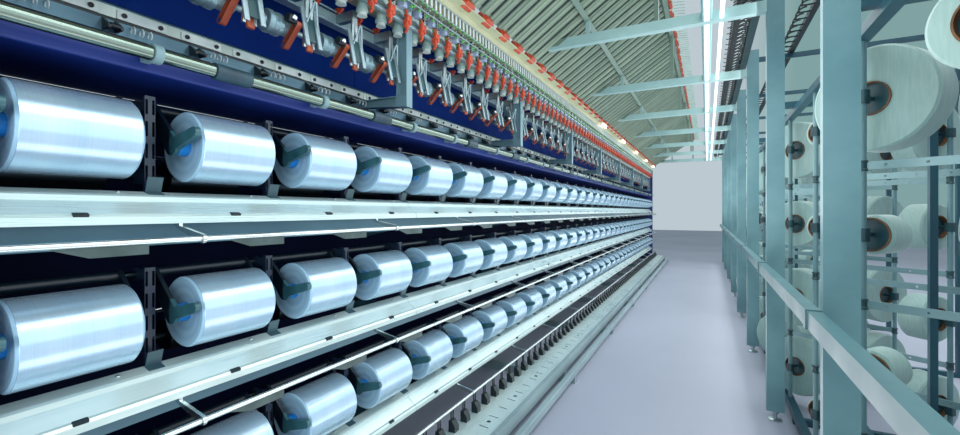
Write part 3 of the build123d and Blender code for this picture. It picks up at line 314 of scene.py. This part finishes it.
SURFACES = {
    "frame_steel": painted("frame_grey", (112, 134, 140), (142, 163, 168)),
    "dark_blue_paint": painted("deep_blue_paint", (3, 16, 84), (6, 26, 112), 0.5, 0.0),
    "blue_paint": painted("beam_blue_paint", (3, 30, 98), (7, 44, 126), 0.5, 0.0),
    "pale_blue_grey": painted("pale_blue_grey_paint", (86, 120, 131), (110, 143, 153), 0.42),
    "beam_teal": painted("beam_teal_paint", (46, 90, 108), (68, 112, 128), 0.4),
    "shelf_aluminium": brushed("shelf_metal", (170, 194, 196), (208, 224, 221), 0.3, 0.4),
    "black_plastic": plastic("black_moulding", (8, 20, 26), (20, 36, 42), 0.42),
    "black_steel": plastic("dark_casting", (12, 48, 56), (26, 72, 80), 0.36),
    "bright_steel": brushed("polished_metal", (186, 196, 196), (226, 232, 230), 0.22),
    "brushed_steel": brushed("brushed_metal", (150, 166, 170), (196, 208, 210), 0.36),
    "orange_plastic": plastic("orange_moulding", (166, 48, 26), (204, 78, 44), 0.42),
    "apron_rubber": plastic("apron_rubber", (126, 54, 36), (170, 80, 50), 0.55),
    "casing_beige": painted("casing_paint", (176, 178, 148), (202, 202, 172), 0.5),
    "slat_metal": cooling_metal(),
    "grey_green": plastic("flap_moulding", (44, 62, 62), (66, 86, 86), 0.45),
    "white_plastic": plastic("white_moulding", (190, 204, 204), (222, 230, 228), 0.4),
    "paper": plastic("paper_tube", (74, 48, 28), (124, 84, 50), 0.75),
    "post_grey": painted("post_paint", (88, 130, 138), (114, 154, 160), 0.42),
    "lamp_cover": glowing("lamp_diffuser", (150, 192, 194), (226, 244, 250), 1.5, 0.017),
    "violet_paint": painted("feed_beam_paint", (16, 46, 54), (28, 66, 72), 0.4),
    "tube_blue": plastic("blue_tube", (18, 118, 196), (36, 144, 220), 0.35),
    "yarn": supply_yarn(),
}


# Finishes of single CAD nodes, repainted in zones where one solid has more than one colour or where
# painted shade darkens it
def profile_metal():
    """Dark stepped profile with a pale band along its face."""
    s = brushed("profile_metal", (52, 86, 104), (98, 130, 144), 0.36, 0.5)
    return s.zoned((186, 200, 194), s.z.between(2.030, 2.078))


def cradle_casting():
    """Grey green castings, with painted shade nearly black behind the package's axis."""
    s = plastic("cradle_casting", (30, 70, 78), (54, 98, 106), 0.34)
    # Painted shade: the arms behind the package's axis are drawn nearly black.
    return s.zoned((8, 22, 34), s.x.below(PACKAGE_X - 0.004))


def panel_paint():
    """Dull blue panels, with painted shade making them much darker below the guide profile."""
    s = painted("panel_paint", (0, 34, 106), (3, 50, 128), 0.6, 0.0)
    s.shader.inputs["Specular IOR Level"].default_value = 0.08
    # Painted shade: the same blue paint is drawn nearly black below the guide profile, where the bank
    # shades it.
    return s.zoned((1, 10, 44), s.z.below(2.0))


def bridge_paint():
    """Pale beams, beige next to the casing and olive where they carry the cooling plates."""
    beige, olive = (190, 194, 160), (112, 134, 122)
    slope = math.radians(PLATE_SLOPE)
    s = painted("bridge_paint", (146, 184, 186), (176, 208, 204), 0.42)
    s.zoned(beige, s.x.below(-1.20) * s.z.below(2.70))
    along_z, along_x = s.z - PLATE_FOOT[1], s.x - PLATE_FOOT[0]
    over_plates = along_z * math.cos(slope) - along_x * math.sin(slope)
    s.zoned(olive, over_plates.above(-0.034) * s.z.above(2.76))
    return s.zoned(olive, s.z.above(2.82) * s.x.between(-0.42, -0.28))


def block_moulding():
    """Pale blocks with a beige band low on their face."""
    s = plastic("block_moulding", (150, 166, 164), (190, 202, 196), 0.4)
    return s.zoned((190, 192, 158), s.z.between(2.420, 2.442))


def sleeve_rubber():
    """Dark sleeves round the suction tube at two places in a section, and grey clamps elsewhere."""
    sleeve_places, sleeve_half = (0.576, 1.292), 0.062
    s = plastic("sleeve_rubber", (14, 44, 58), (30, 66, 80), 0.5)
    in_section = SECTION_PITCH * ((s.y - FIRST_Y) / SECTION_PITCH).math("FRACT")
    off_first, off_second = [(in_section - y).math("ABSOLUTE").above(sleeve_half) for y in sleeve_places]
    return s.zoned((110, 138, 144), off_first * off_second)


def dress(node, surface):
    """Gives a CAD node one material."""
    mesh = nodes[node].data
    mesh.materials.clear()
    mesh.materials.append(surface.material)


for part in frame["record"]["subparts"]:
    dress(part["node"], SURFACES[part["material_slot"]])
casting = cradle_casting()
dress("parked_cradles", casting)
for tier, height in TIER_HEIGHTS.items():
    yarn = wound_yarn(f"{tier}_yarn", height)
    dress(f"{tier}_package_row", yarn)
    dress(f"{tier}_package", yarn)
    dress(f"{tier}_drum_shaft", brushed(f"{tier}_drum_metal", (36, 46, 54), (64, 76, 84), 0.4))
    dress(f"{tier}_cradle", casting)
dress("back_panels", panel_paint())
dress("winding_posts", painted("winding_post_paint", (12, 26, 46), (28, 46, 68), 0.4))
dress("shelf_flaps", painted("flap_paint", (38, 66, 76), (60, 90, 100), 0.4))
dress("cradle_rods", brushed("rod_metal", (40, 52, 60), (70, 84, 90), 0.35))
dress("guide_profile", profile_metal())
dress("suction_tube", brushed("tube_steel", (94, 110, 102), (140, 154, 144), 0.2))
dress("tube_clamps", sleeve_rubber())
dress("nip_beam", brushed("beam_metal", (128, 160, 172), (178, 200, 206), 0.3, 0.6))
dress("nip_roll_shaft", brushed("roll_metal", (112, 142, 152), (172, 194, 198), 0.3, 0.5))
dress("spindle_blocks", block_moulding())
dress("bridge_frame", bridge_paint())
dress("handrail", painted("handrail_paint", (66, 106, 113), (92, 132, 138), 0.34))
dress("creel_frame", painted("creel_paint", (18, 58, 74), (30, 84, 98), 0.45))
dress("creel_tubes", painted("creel_tube_paint", (84, 122, 130), (112, 148, 153), 0.36))
dress("creel_guide_bars", brushed("guide_bar_metal", (104, 138, 144), (146, 176, 178), 0.36, 0.5))


# Small hardware, built as mesh parts: each part is (points, faces) with outward faces
def tube_faces(rings, segments):
    """Faces of a closed tube of rings: quads between neighbours and a fan at each end.

    Point i of ring r is number r * segments + i; the middles of both ends follow the last ring.
    """
    i = np.arange(segments)
    j = (i + 1) % segments
    quad = np.stack([i, j, j + segments, i + segments], axis=1)
    quads = quad + segments * np.arange(rings - 1)[:, None, None]
    last, near_middle = (rings - 1) * segments, rings * segments
    near_end = np.stack([np.full(segments, near_middle), j, i], axis=1)
    far_end = np.stack([np.full(segments, near_middle + 1), last + i, last + j], axis=1)
    return quads.reshape(-1, 4).tolist() + near_end.tolist() + far_end.tolist()


def lathe(profile, segments=16, axis="z"):
    """Turns (radius, height) points about an axis: point = (r cos t, r sin t, h).

    The first and last points lie on the axis, so both ends close in a fan.
    """
    radius, height = np.array(profile, float)[1:-1].T
    turn = np.arange(segments) * 2 * math.pi / segments
    level = np.repeat(height, segments).reshape(-1, segments)
    rings = np.stack([np.outer(radius, np.cos(turn)), np.outer(radius, np.sin(turn)), level], axis=2)
    middles = [(0.0, 0.0, profile[0][1]), (0.0, 0.0, profile[-1][1])]
    points = np.concatenate([rings.reshape(-1, 3), middles])
    order = {"z": (0, 1, 2), "y": (1, 2, 0), "x": (2, 0, 1)}[axis]
    return points[:, order], tube_faces(len(radius), segments)


def sweep(path, radius, segments=8):
    """A round rod along a path: point = p + r (side cos t + up sin t), with closed ends.

    Side and up are square to the mean direction of the path at p.
    """
    path = np.asarray(path, float)
    ahead = np.gradient(path, axis=0)
    ahead /= np.linalg.norm(ahead, axis=1)[:, None]
    side = np.cross(ahead, (0.31, 0.83, 0.47))
    side /= np.linalg.norm(side, axis=1)[:, None]
    up = np.cross(ahead, side)
    turn = (np.arange(segments) * 2 * math.pi / segments)[None, :, None]
    rings = path[:, None] + radius * (np.cos(turn) * side[:, None] + np.sin(turn) * up[:, None])
    points = np.concatenate([rings.reshape(-1, 3), path[:1], path[-1:]])
    return points, tube_faces(len(path), segments)


def arc(centre, radius, start, end, steps, y=0.0):
    """Points (x + r cos t, y, z + r sin t) of an arc, angles in degrees from +X towards +Z."""
    t = np.radians(np.linspace(start, end, steps))
    x, z = centre
    return np.stack([x + radius * np.cos(t), np.full(steps, y), z + radius * np.sin(t)], axis=1)


def eased_box(size, ease):
    """A box about the origin with rounded edges."""
    shape = bmesh.new()
    bmesh.ops.create_cube(shape, size=1.0)
    bmesh.ops.scale(shape, vec=size, verts=shape.verts)
    bmesh.ops.bevel(shape, geom=shape.edges[:], offset=ease, segments=2, affect="EDGES", profile=0.6)
    shape.verts.index_update()
    points = np.array([v.co[:] for v in shape.verts])
    faces = [tuple(v.index for v in face.verts) for face in shape.faces]
    shape.free()
    return points, faces


def put(part, x, z, y=0.0, lean=0.0):
    """A part turned about Y by lean degrees, its +X side upwards, then moved to (x, y, z)."""
    points, faces = part
    cos, sin = math.cos(math.radians(lean)), math.sin(math.radians(lean))
    turn = np.array([(cos, 0.0, sin), (0.0, 1.0, 0.0), (-sin, 0.0, cos)])
    return points @ turn + (x, y, z), faces


def joined(parts):
    """One part of several: each part's faces count on from the points before it."""
    points, faces, start = [], [], 0
    for part_points, part_faces in parts:
        points.append(part_points)
        faces += [tuple(corner + start for corner in face) for face in part_faces]
        start += len(part_points)
    return np.concatenate(points), faces


def repeated(part, places):
    """Copies of a part along Y."""
    return joined([put(part, 0.0, 0.0, y) for y in places])


def pattern(per_section, offset=None):
    """Y of a pattern with so many to a section, centred on its pitch unless offset."""
    pitch = SECTION_PITCH / per_section
    start = pitch / 2 if offset is None else offset
    return [FIRST_Y + section * SECTION_PITCH + start + i * pitch
            for section in range(SECTIONS) for i in range(per_section)]


def boundaries(per_section):
    """Y between the neighbours of a centred pattern, without the machine's ends."""
    return pattern(per_section, 0.0)[1:]


def add(name, part, finish, body="frame"):
    """A visible piece on a body, smooth apart from edges sharper than 35 degrees."""
    points, faces = part
    surface, slot = finish
    mesh = bpy.data.meshes.new(name)
    mesh.from_pydata(points.tolist(), [], faces)
    mesh.materials.append(surface.material)
    mesh.shade_smooth()
    mesh.set_sharp_from_angle(angle=math.radians(35))
    piece = bpy.data.objects.new(name, mesh)
    bpy.context.scene.collection.objects.link(piece)
    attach(piece, body)


# Finishes of the hardware, each with the CAD slot it belongs to
STEEL, BRIGHT, BLACK, WHITE, ORANGE, RUBBER = [(SURFACES[slot], slot) for slot in (
    "brushed_steel", "bright_steel", "black_plastic", "white_plastic", "orange_plastic", "apron_rubber")]
TEAL = (painted("coupling_paint", (16, 52, 58), (34, 78, 84), 0.4), "black_plastic")
LILAC = (plastic("cover_moulding", (150, 168, 206), (182, 196, 226), 0.4), "pale_blue_grey")
GREEN = (plastic("green_moulding", (64, 150, 70), (108, 190, 96), 0.45), "white_plastic")
MINT = (plastic("pin_moulding", (112, 164, 144), (152, 198, 178), 0.45), "white_plastic")
CREAM = (plastic("bell_moulding", (110, 140, 143), (150, 170, 162), 0.4), "white_plastic")
SILVER = (brushed("bar_metal", (124, 148, 157), (172, 190, 196), 0.34, 0.5), "brushed_steel")
DRUM = (brushed("drum_metal", (96, 128, 140), (150, 176, 184), 0.3, 0.5), "brushed_steel")
WARM = (glowing("warm_diffuser", (150, 140, 120), (255, 226, 196), 5.0, 9.0), "lamp_cover")


def shelf_hardware():
    """Dark clips in each shelf's lower edge and domed screws on its ledge, one to a position."""
    clip_x, clip_drop, clip_lean = -1.3805, 0.2105, -25
    screw_x, screw_drop, screw_lean, screw_offset = -1.459, 0.1472, -17, 0.31
    clip = eased_box((0.014, 0.032, 0.010), 0.002)
    screw = lathe([(0, -0.001), (0.006, -0.001), (0.006, 0.001), (0.004, 0.0035), (0, 0.0042)], 12)
    clips, screws = [], []
    for height in TIER_HEIGHTS.values():
        low_clip = put(clip, clip_x, height - clip_drop, lean=clip_lean)
        clips.append(repeated(low_clip, pattern(POSITIONS)))
        ledge_screw = put(screw, screw_x, height - screw_drop, lean=screw_lean)
        screws.append(repeated(ledge_screw, pattern(POSITIONS, screw_offset)))
    add("shelf_clips", joined(clips), BLACK)
    add("shelf_screws", joined(screws), STEEL)


def profile_hardware():
    """Long pale plates with screws, a black strip as the painted shade of a groove on the stepped
    profile, and hooks below it.
    """
    plate_x, head_x, plate_z, head_side = -1.7432, -1.7414, 2.057, 0.055
    groove_place, groove_play = (-1.7440, 2.036), 0.01
    hook_middle, hook_radius = (-1.716, 2.006), 0.014
    plate = eased_box((0.004, 0.150, 0.030), 0.0012)
    head = lathe([(0, 0), (0.008, 0), (0.008, 0.005), (0.005, 0.007), (0.004, 0.004), (0, 0.004)],
                 12, "x")
    heads = [put(head, head_x, plate_z, y) for y in (-head_side, head_side)]
    add("profile_plates", repeated(put(plate, plate_x, plate_z), pattern(PROFILE_PLATES)), WHITE)
    add("profile_screws", repeated(joined(heads), pattern(PROFILE_PLATES)), BLACK)
    # Painted shade: a black strip stands for the dark line of the groove along the profile.
    groove_shade = eased_box((0.004, LENGTH - groove_play, 0.010), 0.001)
    add("profile_groove_shade", put(groove_shade, *groove_place), BLACK)
    hooks = [sweep(arc(hook_middle, hook_radius, -60, 200, 9, y), 0.0022, 6)
             for y in (0.060, 0.085, 0.110)]
    add("profile_hooks", repeated(joined(hooks), pattern(FEED_UNITS)), WHITE)


def feed_hardware():
    """Stepped drums on the nip shaft; before each a leaning bracket, its toe, a knob and a dome.

    The bracket has two bars on a dark web, tied by two thin rods that close towards the top.
    """
    lean, bracket_y = 12, 0.054
    knob_y, knob_z = -0.032, 2.176
    units = pattern(FEED_UNITS)
    drum = lathe([(0, -0.112), (0.022, -0.112), (0.024, -0.106), (0.043, -0.102), (0.047, -0.096),
                  (0.047, -0.080), (0.044, -0.076), (0.044, -0.060), (0.047, -0.056), (0.047, -0.040),
                  (0.043, -0.036), (0, -0.036)], 32, "y")
    add("feed_drums", repeated(put(drum, *NIP_SHAFT), units), DRUM, "nip_rolls")
    bar = eased_box((0.008, 0.020, 0.176), 0.002)
    bars = [put(bar, -1.468, 2.166, bracket_y + side * 0.032, lean) for side in (-1, 1)]
    for side in (-1, 1):
        rod = [(-1.462, bracket_y + side * 0.028, 2.180), (-1.452, bracket_y + side * 0.016, 2.225),
               (-1.442, bracket_y + side * 0.004, 2.270)]
        bars.append(sweep(rod, 0.0035, 6))
    toe = put(eased_box((0.014, 0.030, 0.044), 0.005), -1.482, 2.088, bracket_y, lean)
    web = put(eased_box((0.005, 0.062, 0.150), 0.0015), -1.476, 2.176, bracket_y, lean)
    add("feed_toes", repeated(toe, units), RUBBER)
    add("feed_bars", repeated(joined(bars), units), SILVER)
    add("feed_webs", repeated(web, units), TEAL)
    knob = lathe([(0, -0.018), (0.017, -0.018), (0.019, -0.014), (0.019, 0.014), (0.017, 0.018),
                  (0, 0.018)], 16, "y")
    add("feed_knobs", repeated(put(knob, -1.487, knob_z, knob_y), units), BLACK)
    dome = lathe([(0, -0.001), (0.013, -0.001), (0.013, 0.004), (0.009, 0.010), (0, 0.0125)], 14, "x")
    add("feed_domes", repeated(put(dome, -1.469, knob_z, knob_y), units), BRIGHT)


def guide_hardware():
    """Orange guide clips on the front rail and the rod, each with a ceramic eye, over pale bells."""
    spindles = pattern(SPINDLES)
    body = put(eased_box((0.032, 0.030, 0.036), 0.008), -1.387, 2.404)
    cheek = put(eased_box((0.022, 0.022, 0.048), 0.007), -1.380, 2.396, 0.012)
    tail = sweep([(-1.384, -0.004, 2.386), (-1.380, -0.002, 2.366), (-1.388, 0.004, 2.346),
                  (-1.402, 0.008, 2.338)], 0.008)
    horn = sweep([(-1.382, -0.010, 2.420), (-1.374, -0.014, 2.430), (-1.380, -0.020, 2.438)], 0.006)
    add("front_guides", repeated(joined([body, cheek, tail, horn]), spindles), ORANGE)
    clip = put(eased_box((0.024, 0.024, 0.034), 0.005), -1.602, 2.374)
    add("rod_guides", repeated(clip, spindles), ORANGE)
    eye = sweep(arc((-1.366, 2.424), 0.007, 0, 330, 10), 0.002, 6)
    add("guide_eyes", repeated(eye, spindles), WHITE)
    link = sweep([(-1.392, -0.050, 2.400), (-1.384, 0.0, 2.408), (-1.392, 0.050, 2.400)], 0.007)
    add("guide_links", repeated(link, boundaries(SPINDLES)), TEAL)
    skirt_x, skirt_foot = -1.447, 2.338
    skirt = lathe([(0, 0), (0.024, 0), (0.029, 0.005), (0.028, 0.018), (0.023, 0.042),
                   (0.018, 0.064), (0.012, 0.070), (0, 0.070)], 18)
    add("bell_skirts", repeated(put(skirt, skirt_x, skirt_foot), spindles), CREAM)


def spindle_hardware():
    """Cages of three capped posts round the friction discs, lilac covers and thin yarn rods.

    Rows of pale paddles with green beads stand before them on rails as long as the machine.
    """
    spindles, paddles = pattern(SPINDLES), pattern(PADDLES)
    cage_radius, collar_z, cap_z = 0.031, 2.482, 2.560
    collar = lathe([(0, 0), (0.0085, 0), (0.0085, 0.012), (0, 0.012)], 10)
    cap = lathe([(0, 0), (0.008, 0), (0.008, 0.022), (0.005, 0.026), (0, 0.026)], 10)
    posts, collars, caps = [], [], []
    for turn in np.radians((20, 140, 260)):
        x, y = SPINDLE_X + cage_radius * math.cos(turn), cage_radius * math.sin(turn)
        posts.append(sweep([(x, y, 2.470), (x, y, 2.530), (x, y, 2.590)], 0.0028, 6))
        collars.append(put(collar, x, collar_z, y))
        caps.append(put(cap, x, cap_z, y))
    add("spindle_posts", repeated(joined(posts), spindles), BRIGHT)
    add("spindle_collars", repeated(joined(collars), spindles), GREEN)
    add("spindle_caps", repeated(joined(caps), spindles), WHITE)

    paddle_x, rail_over = -1.352, 0.004
    paddle = eased_box((0.006, 0.015, 0.064), 0.002)
    bead = eased_box((0.012, 0.014, 0.012), 0.003)
    add("spindle_paddles", repeated(put(paddle, paddle_x, 2.557), paddles), WHITE)
    add("paddle_beads", repeated(put(bead, paddle_x, 2.518), paddles), GREEN)
    rail = eased_box((0.010, LENGTH + rail_over, 0.008), 0.002)
    rails = [put(rail, *place) for place in ((paddle_x, 2.523), (paddle_x, 2.5865), (-1.372, 2.492))]
    add("paddle_rails", joined(rails), STEEL)

    cover = put(eased_box((0.042, 0.034, 0.034), 0.004), -1.416, 2.482)
    add("spindle_covers", repeated(cover, spindles), LILAC)
    rods, ties = [], []
    for y, z in ((0.030, 2.500), (0.052, 2.512), (-0.036, 2.505)):
        rod = [(-1.380, y, z - 0.045), (-1.378, y, z), (-1.366, y + 0.006, z + 0.050)]
        rods.append(sweep(rod, 0.0026, 6))
        ties.append(put(bead, -1.378, z - 0.024, y))
    add("yarn_rods", repeated(joined(rods), spindles), BRIGHT)
    add("yarn_rod_ties", repeated(joined(ties), spindles), GREEN)


def on_plates(along, over):
    """Place so far up the cooling plates from their foot, and so far over them."""
    slope = math.radians(PLATE_SLOPE)
    return (PLATE_FOOT[0] + along * math.cos(slope) - over * math.sin(slope),
            PLATE_FOOT[1] + along * math.sin(slope) + over * math.cos(slope))


def plate_hardware():
    """Orange noses and black links on the plates' lower ends, black strips over the gaps between the
    plates as painted shade, pins above.

    Warm lamps hang under the casing's edge, one to a section from the fourth on.
    """
    nose = put(eased_box((0.060, 0.098, 0.050), 0.014), -1.290, 2.652, lean=PLATE_SLOPE)
    add("cap_noses", repeated(nose, pattern(CAP_NOSES)), ORANGE)
    link = sweep([(-1.300, -0.090, 2.668), (-1.306, 0.0, 2.650), (-1.300, 0.090, 2.668)], 0.009)
    add("cap_links", repeated(link, boundaries(CAP_NOSES)), BLACK)
    # Painted shade: thin black strips lie over the gaps between the plates and stand for the shade in
    # them.
    gap_shade_strip = put(eased_box((1.10, 0.030, 0.006), 0.001), *on_plates(0.58, 0.012), lean=PLATE_SLOPE)
    add("plate_gap_shade", repeated(gap_shade_strip, boundaries(COOLING_PLATES)), BLACK)
    lamp = put(eased_box((0.026, 0.170, 0.036), 0.008), -1.294, 2.613)
    add("edge_lamps", repeated(lamp, pattern(1, 0.76 * SECTION_PITCH)[3:]), WARM)
    pin = sweep([(-0.300, 0.0, 3.330), (-0.240, 0.0, 3.332), (-0.185, 0.0, 3.322)], 0.004, 6)
    add("upper_pins", repeated(pin, pattern(2 * COOLING_PLATES)), MINT)


def finger_hardware():
    """Rows of bent black hooks of three lengths and short pins under the input feed."""
    hook_shapes = ((0.0, 0.054, 20, 250), (0.015, 0.062, 120, 280), (0.030, 0.057, 60, 265))
    hooks = [sweep(arc(FEED_SHAFT, reach, start, end, 11, y), 0.0055, 6)
             for y, reach, start, end in hook_shapes]
    tail = sweep([(0.206, 0.008, 2.880), (0.186, 0.014, 2.858), (0.164, 0.020, 2.848)], 0.0055, 6)
    claw = sweep([(0.240, 0.022, 2.842), (0.212, 0.030, 2.828), (0.190, 0.034, 2.832)], 0.0050, 6)
    add("feed_hooks", repeated(joined(hooks + [tail, claw]), pattern(FEED_HOOKS)), BLACK)
    pin = sweep([(0.206, 0.0, 2.912), (0.184, 0.0, 2.908), (0.164, 0.0, 2.900)], 0.0035, 6)
    low = sweep([(0.258, -0.002, 2.844), (0.238, -0.002, 2.833), (0.220, -0.002, 2.829)], 0.0035, 6)
    add("feed_pins", repeated(joined([pin, low]), pattern(FEED_HOOKS // 2, 0.010)), WHITE)


def creel_hardware():
    """Couplings on the creel tubes halfway between the pegs."""
    levels, pegs = (0.545, 1.050, 1.570), 2
    coupling = lathe([(0, -0.020), (0.0165, -0.020), (0.0175, -0.014), (0.0145, -0.010),
                      (0.0145, 0.010), (0.0175, 0.014), (0.0165, 0.020), (0, 0.020)], 16)
    for name, x, offset in (("inner_couplings", 0.522, 0.228), ("outer_couplings", 1.190, 0.628)):
        column = joined([put(coupling, x, z) for z in levels])
        add(name, repeated(column, pattern(pegs, offset)), TEAL)


shelf_hardware()
profile_hardware()
feed_hardware()
guide_hardware()
spindle_hardware()
plate_hardware()
finger_hardware()
creel_hardware()


# Stage, light and camera
def hall_floor():
    """Pale floor of the stage, with soft clouds of tone."""
    reach = 14.0
    corners = [(-reach, -2 * reach, 0), (reach, -2 * reach, 0), (reach, 2 * reach, 0),
               (-reach, 2 * reach, 0)]
    mesh = bpy.data.meshes.new("floor")
    mesh.from_pydata(corners, [], [(0, 1, 2, 3)])
    piece = bpy.data.objects.new("floor", mesh)
    bpy.context.scene.collection.objects.link(piece)
    s = Surface("floor", 0.55)
    s.colour((150, 156, 172), (162, 168, 184), s.noise((0.4, 0.4, 0.4), 5.0).step(0.35, 0.65))
    mesh.materials.append(s.material)


def area_light(name, place, aim, width, height, power, colour=(1.0, 1.0, 1.0)):
    """A rectangular lamp that shines from its place towards its aim; the camera doesn't see it."""
    lamp = bpy.data.lights.new(name, "AREA")
    lamp.shape = "RECTANGLE"
    lamp.size = width
    lamp.size_y = height
    lamp.energy = power
    lamp.color = colour
    piece = bpy.data.objects.new(name, lamp)
    bpy.context.scene.collection.objects.link(piece)
    piece.location = place
    piece.rotation_euler = (Vector(aim) - Vector(place)).to_track_quat("-Z", "Y").to_euler()
    piece.visible_camera = False


def hall_lights():
    """Cool light along the aisle and on the bank, soft light over, under and on the creel."""
    cool, y, front = (0.90, 0.97, 1.0), MIDDLE_Y, FIRST_Y
    bank_y, bank_length = MIDDLE_Y - 1.5, LENGTH + 3.0
    area_light("aisle_light", (0.05, y, 2.70), (-0.4, y, 0.0), LENGTH, 0.35, 45.0, cool)
    area_light("bank_light", (0.30, bank_y, 2.02), (-2.0, bank_y, 2.02), bank_length, 1.65, 120.0, cool)
    area_light("low_light", (0.30, bank_y, 0.60), (-2.0, bank_y, 0.60), bank_length, 1.0, 42.0)
    area_light("front_light", (-0.3, front - 2.4, 1.2), (-1.4, front + 1.5, 1.1), 1.8, 2.0, 45.0, cool)
    area_light("hall_light", (2.3, y, 5.5), (2.7, y, 0.0), LENGTH, 1.6, 260.0, cool)
    area_light("up_light", (-0.3, y, 0.10), (-0.6, y, 3.0), LENGTH, 0.7, 60.0)
    area_light("creel_light", (0.10, y, 1.7), (1.2, y, 1.5), LENGTH, 0.8, 50.0)
    area_light("roof_light", (0.6, y, 6.0), (0.3, y, 2.0), LENGTH, 4.0, 300.0)


def hall_world():
    """Even pale light; the camera sees it pale along the aisle and teal on the creel's side."""
    world = bpy.data.worlds.new("studio")
    bpy.context.scene.world = world
    world.use_nodes = True
    tree = world.node_tree
    light = tree.nodes["Background"]
    light.inputs["Color"].default_value = linear((214, 232, 240))
    light.inputs["Strength"].default_value = 0.6
    direction = new_node(tree, "ShaderNodeTexCoord").outputs["Generated"]
    across = new_node(tree, "ShaderNodeSeparateXYZ", sockets={0: direction}).outputs[0]
    shade = mixed(tree, (188, 201, 208), (128, 162, 162), Value(tree, across).step(0.04, 0.14))
    seen = new_node(tree, "ShaderNodeBackground", sockets={"Color": shade})
    by_camera = new_node(tree, "ShaderNodeLightPath").outputs["Is Camera Ray"]
    sockets = {0: by_camera, 1: light.outputs[0], 2: seen.outputs[0]}
    choice = new_node(tree, "ShaderNodeMixShader", sockets=sockets)
    tree.links.new(choice.outputs[0], tree.nodes["World Output"].inputs["Surface"])


def photo_camera():
    """Level camera at the fitted eye place; the horizon's row gives the upward shift."""
    camera = bpy.data.cameras.new("photo_camera")
    camera.sensor_width = SENSOR
    camera.lens = SENSOR * FOCAL_PIXELS / IMAGE_WIDTH
    camera.shift_y = (HORIZON_ROW - MIDDLE_ROW) / IMAGE_WIDTH
    camera.clip_start = 0.05
    eye = bpy.data.objects.new("photo_camera", camera)
    bpy.context.scene.collection.objects.link(eye)
    eye.location = (0.0, FIRST_Y - EYE_BACK, EYE_HEIGHT)
    eye.rotation_euler = (math.radians(90), 0.0, math.radians(CAMERA_YAW))
    bpy.context.scene.camera = eye


hall_floor()
hall_lights()
hall_world()
photo_camera()
bpy.context.scene.view_settings.view_transform = "Standard"
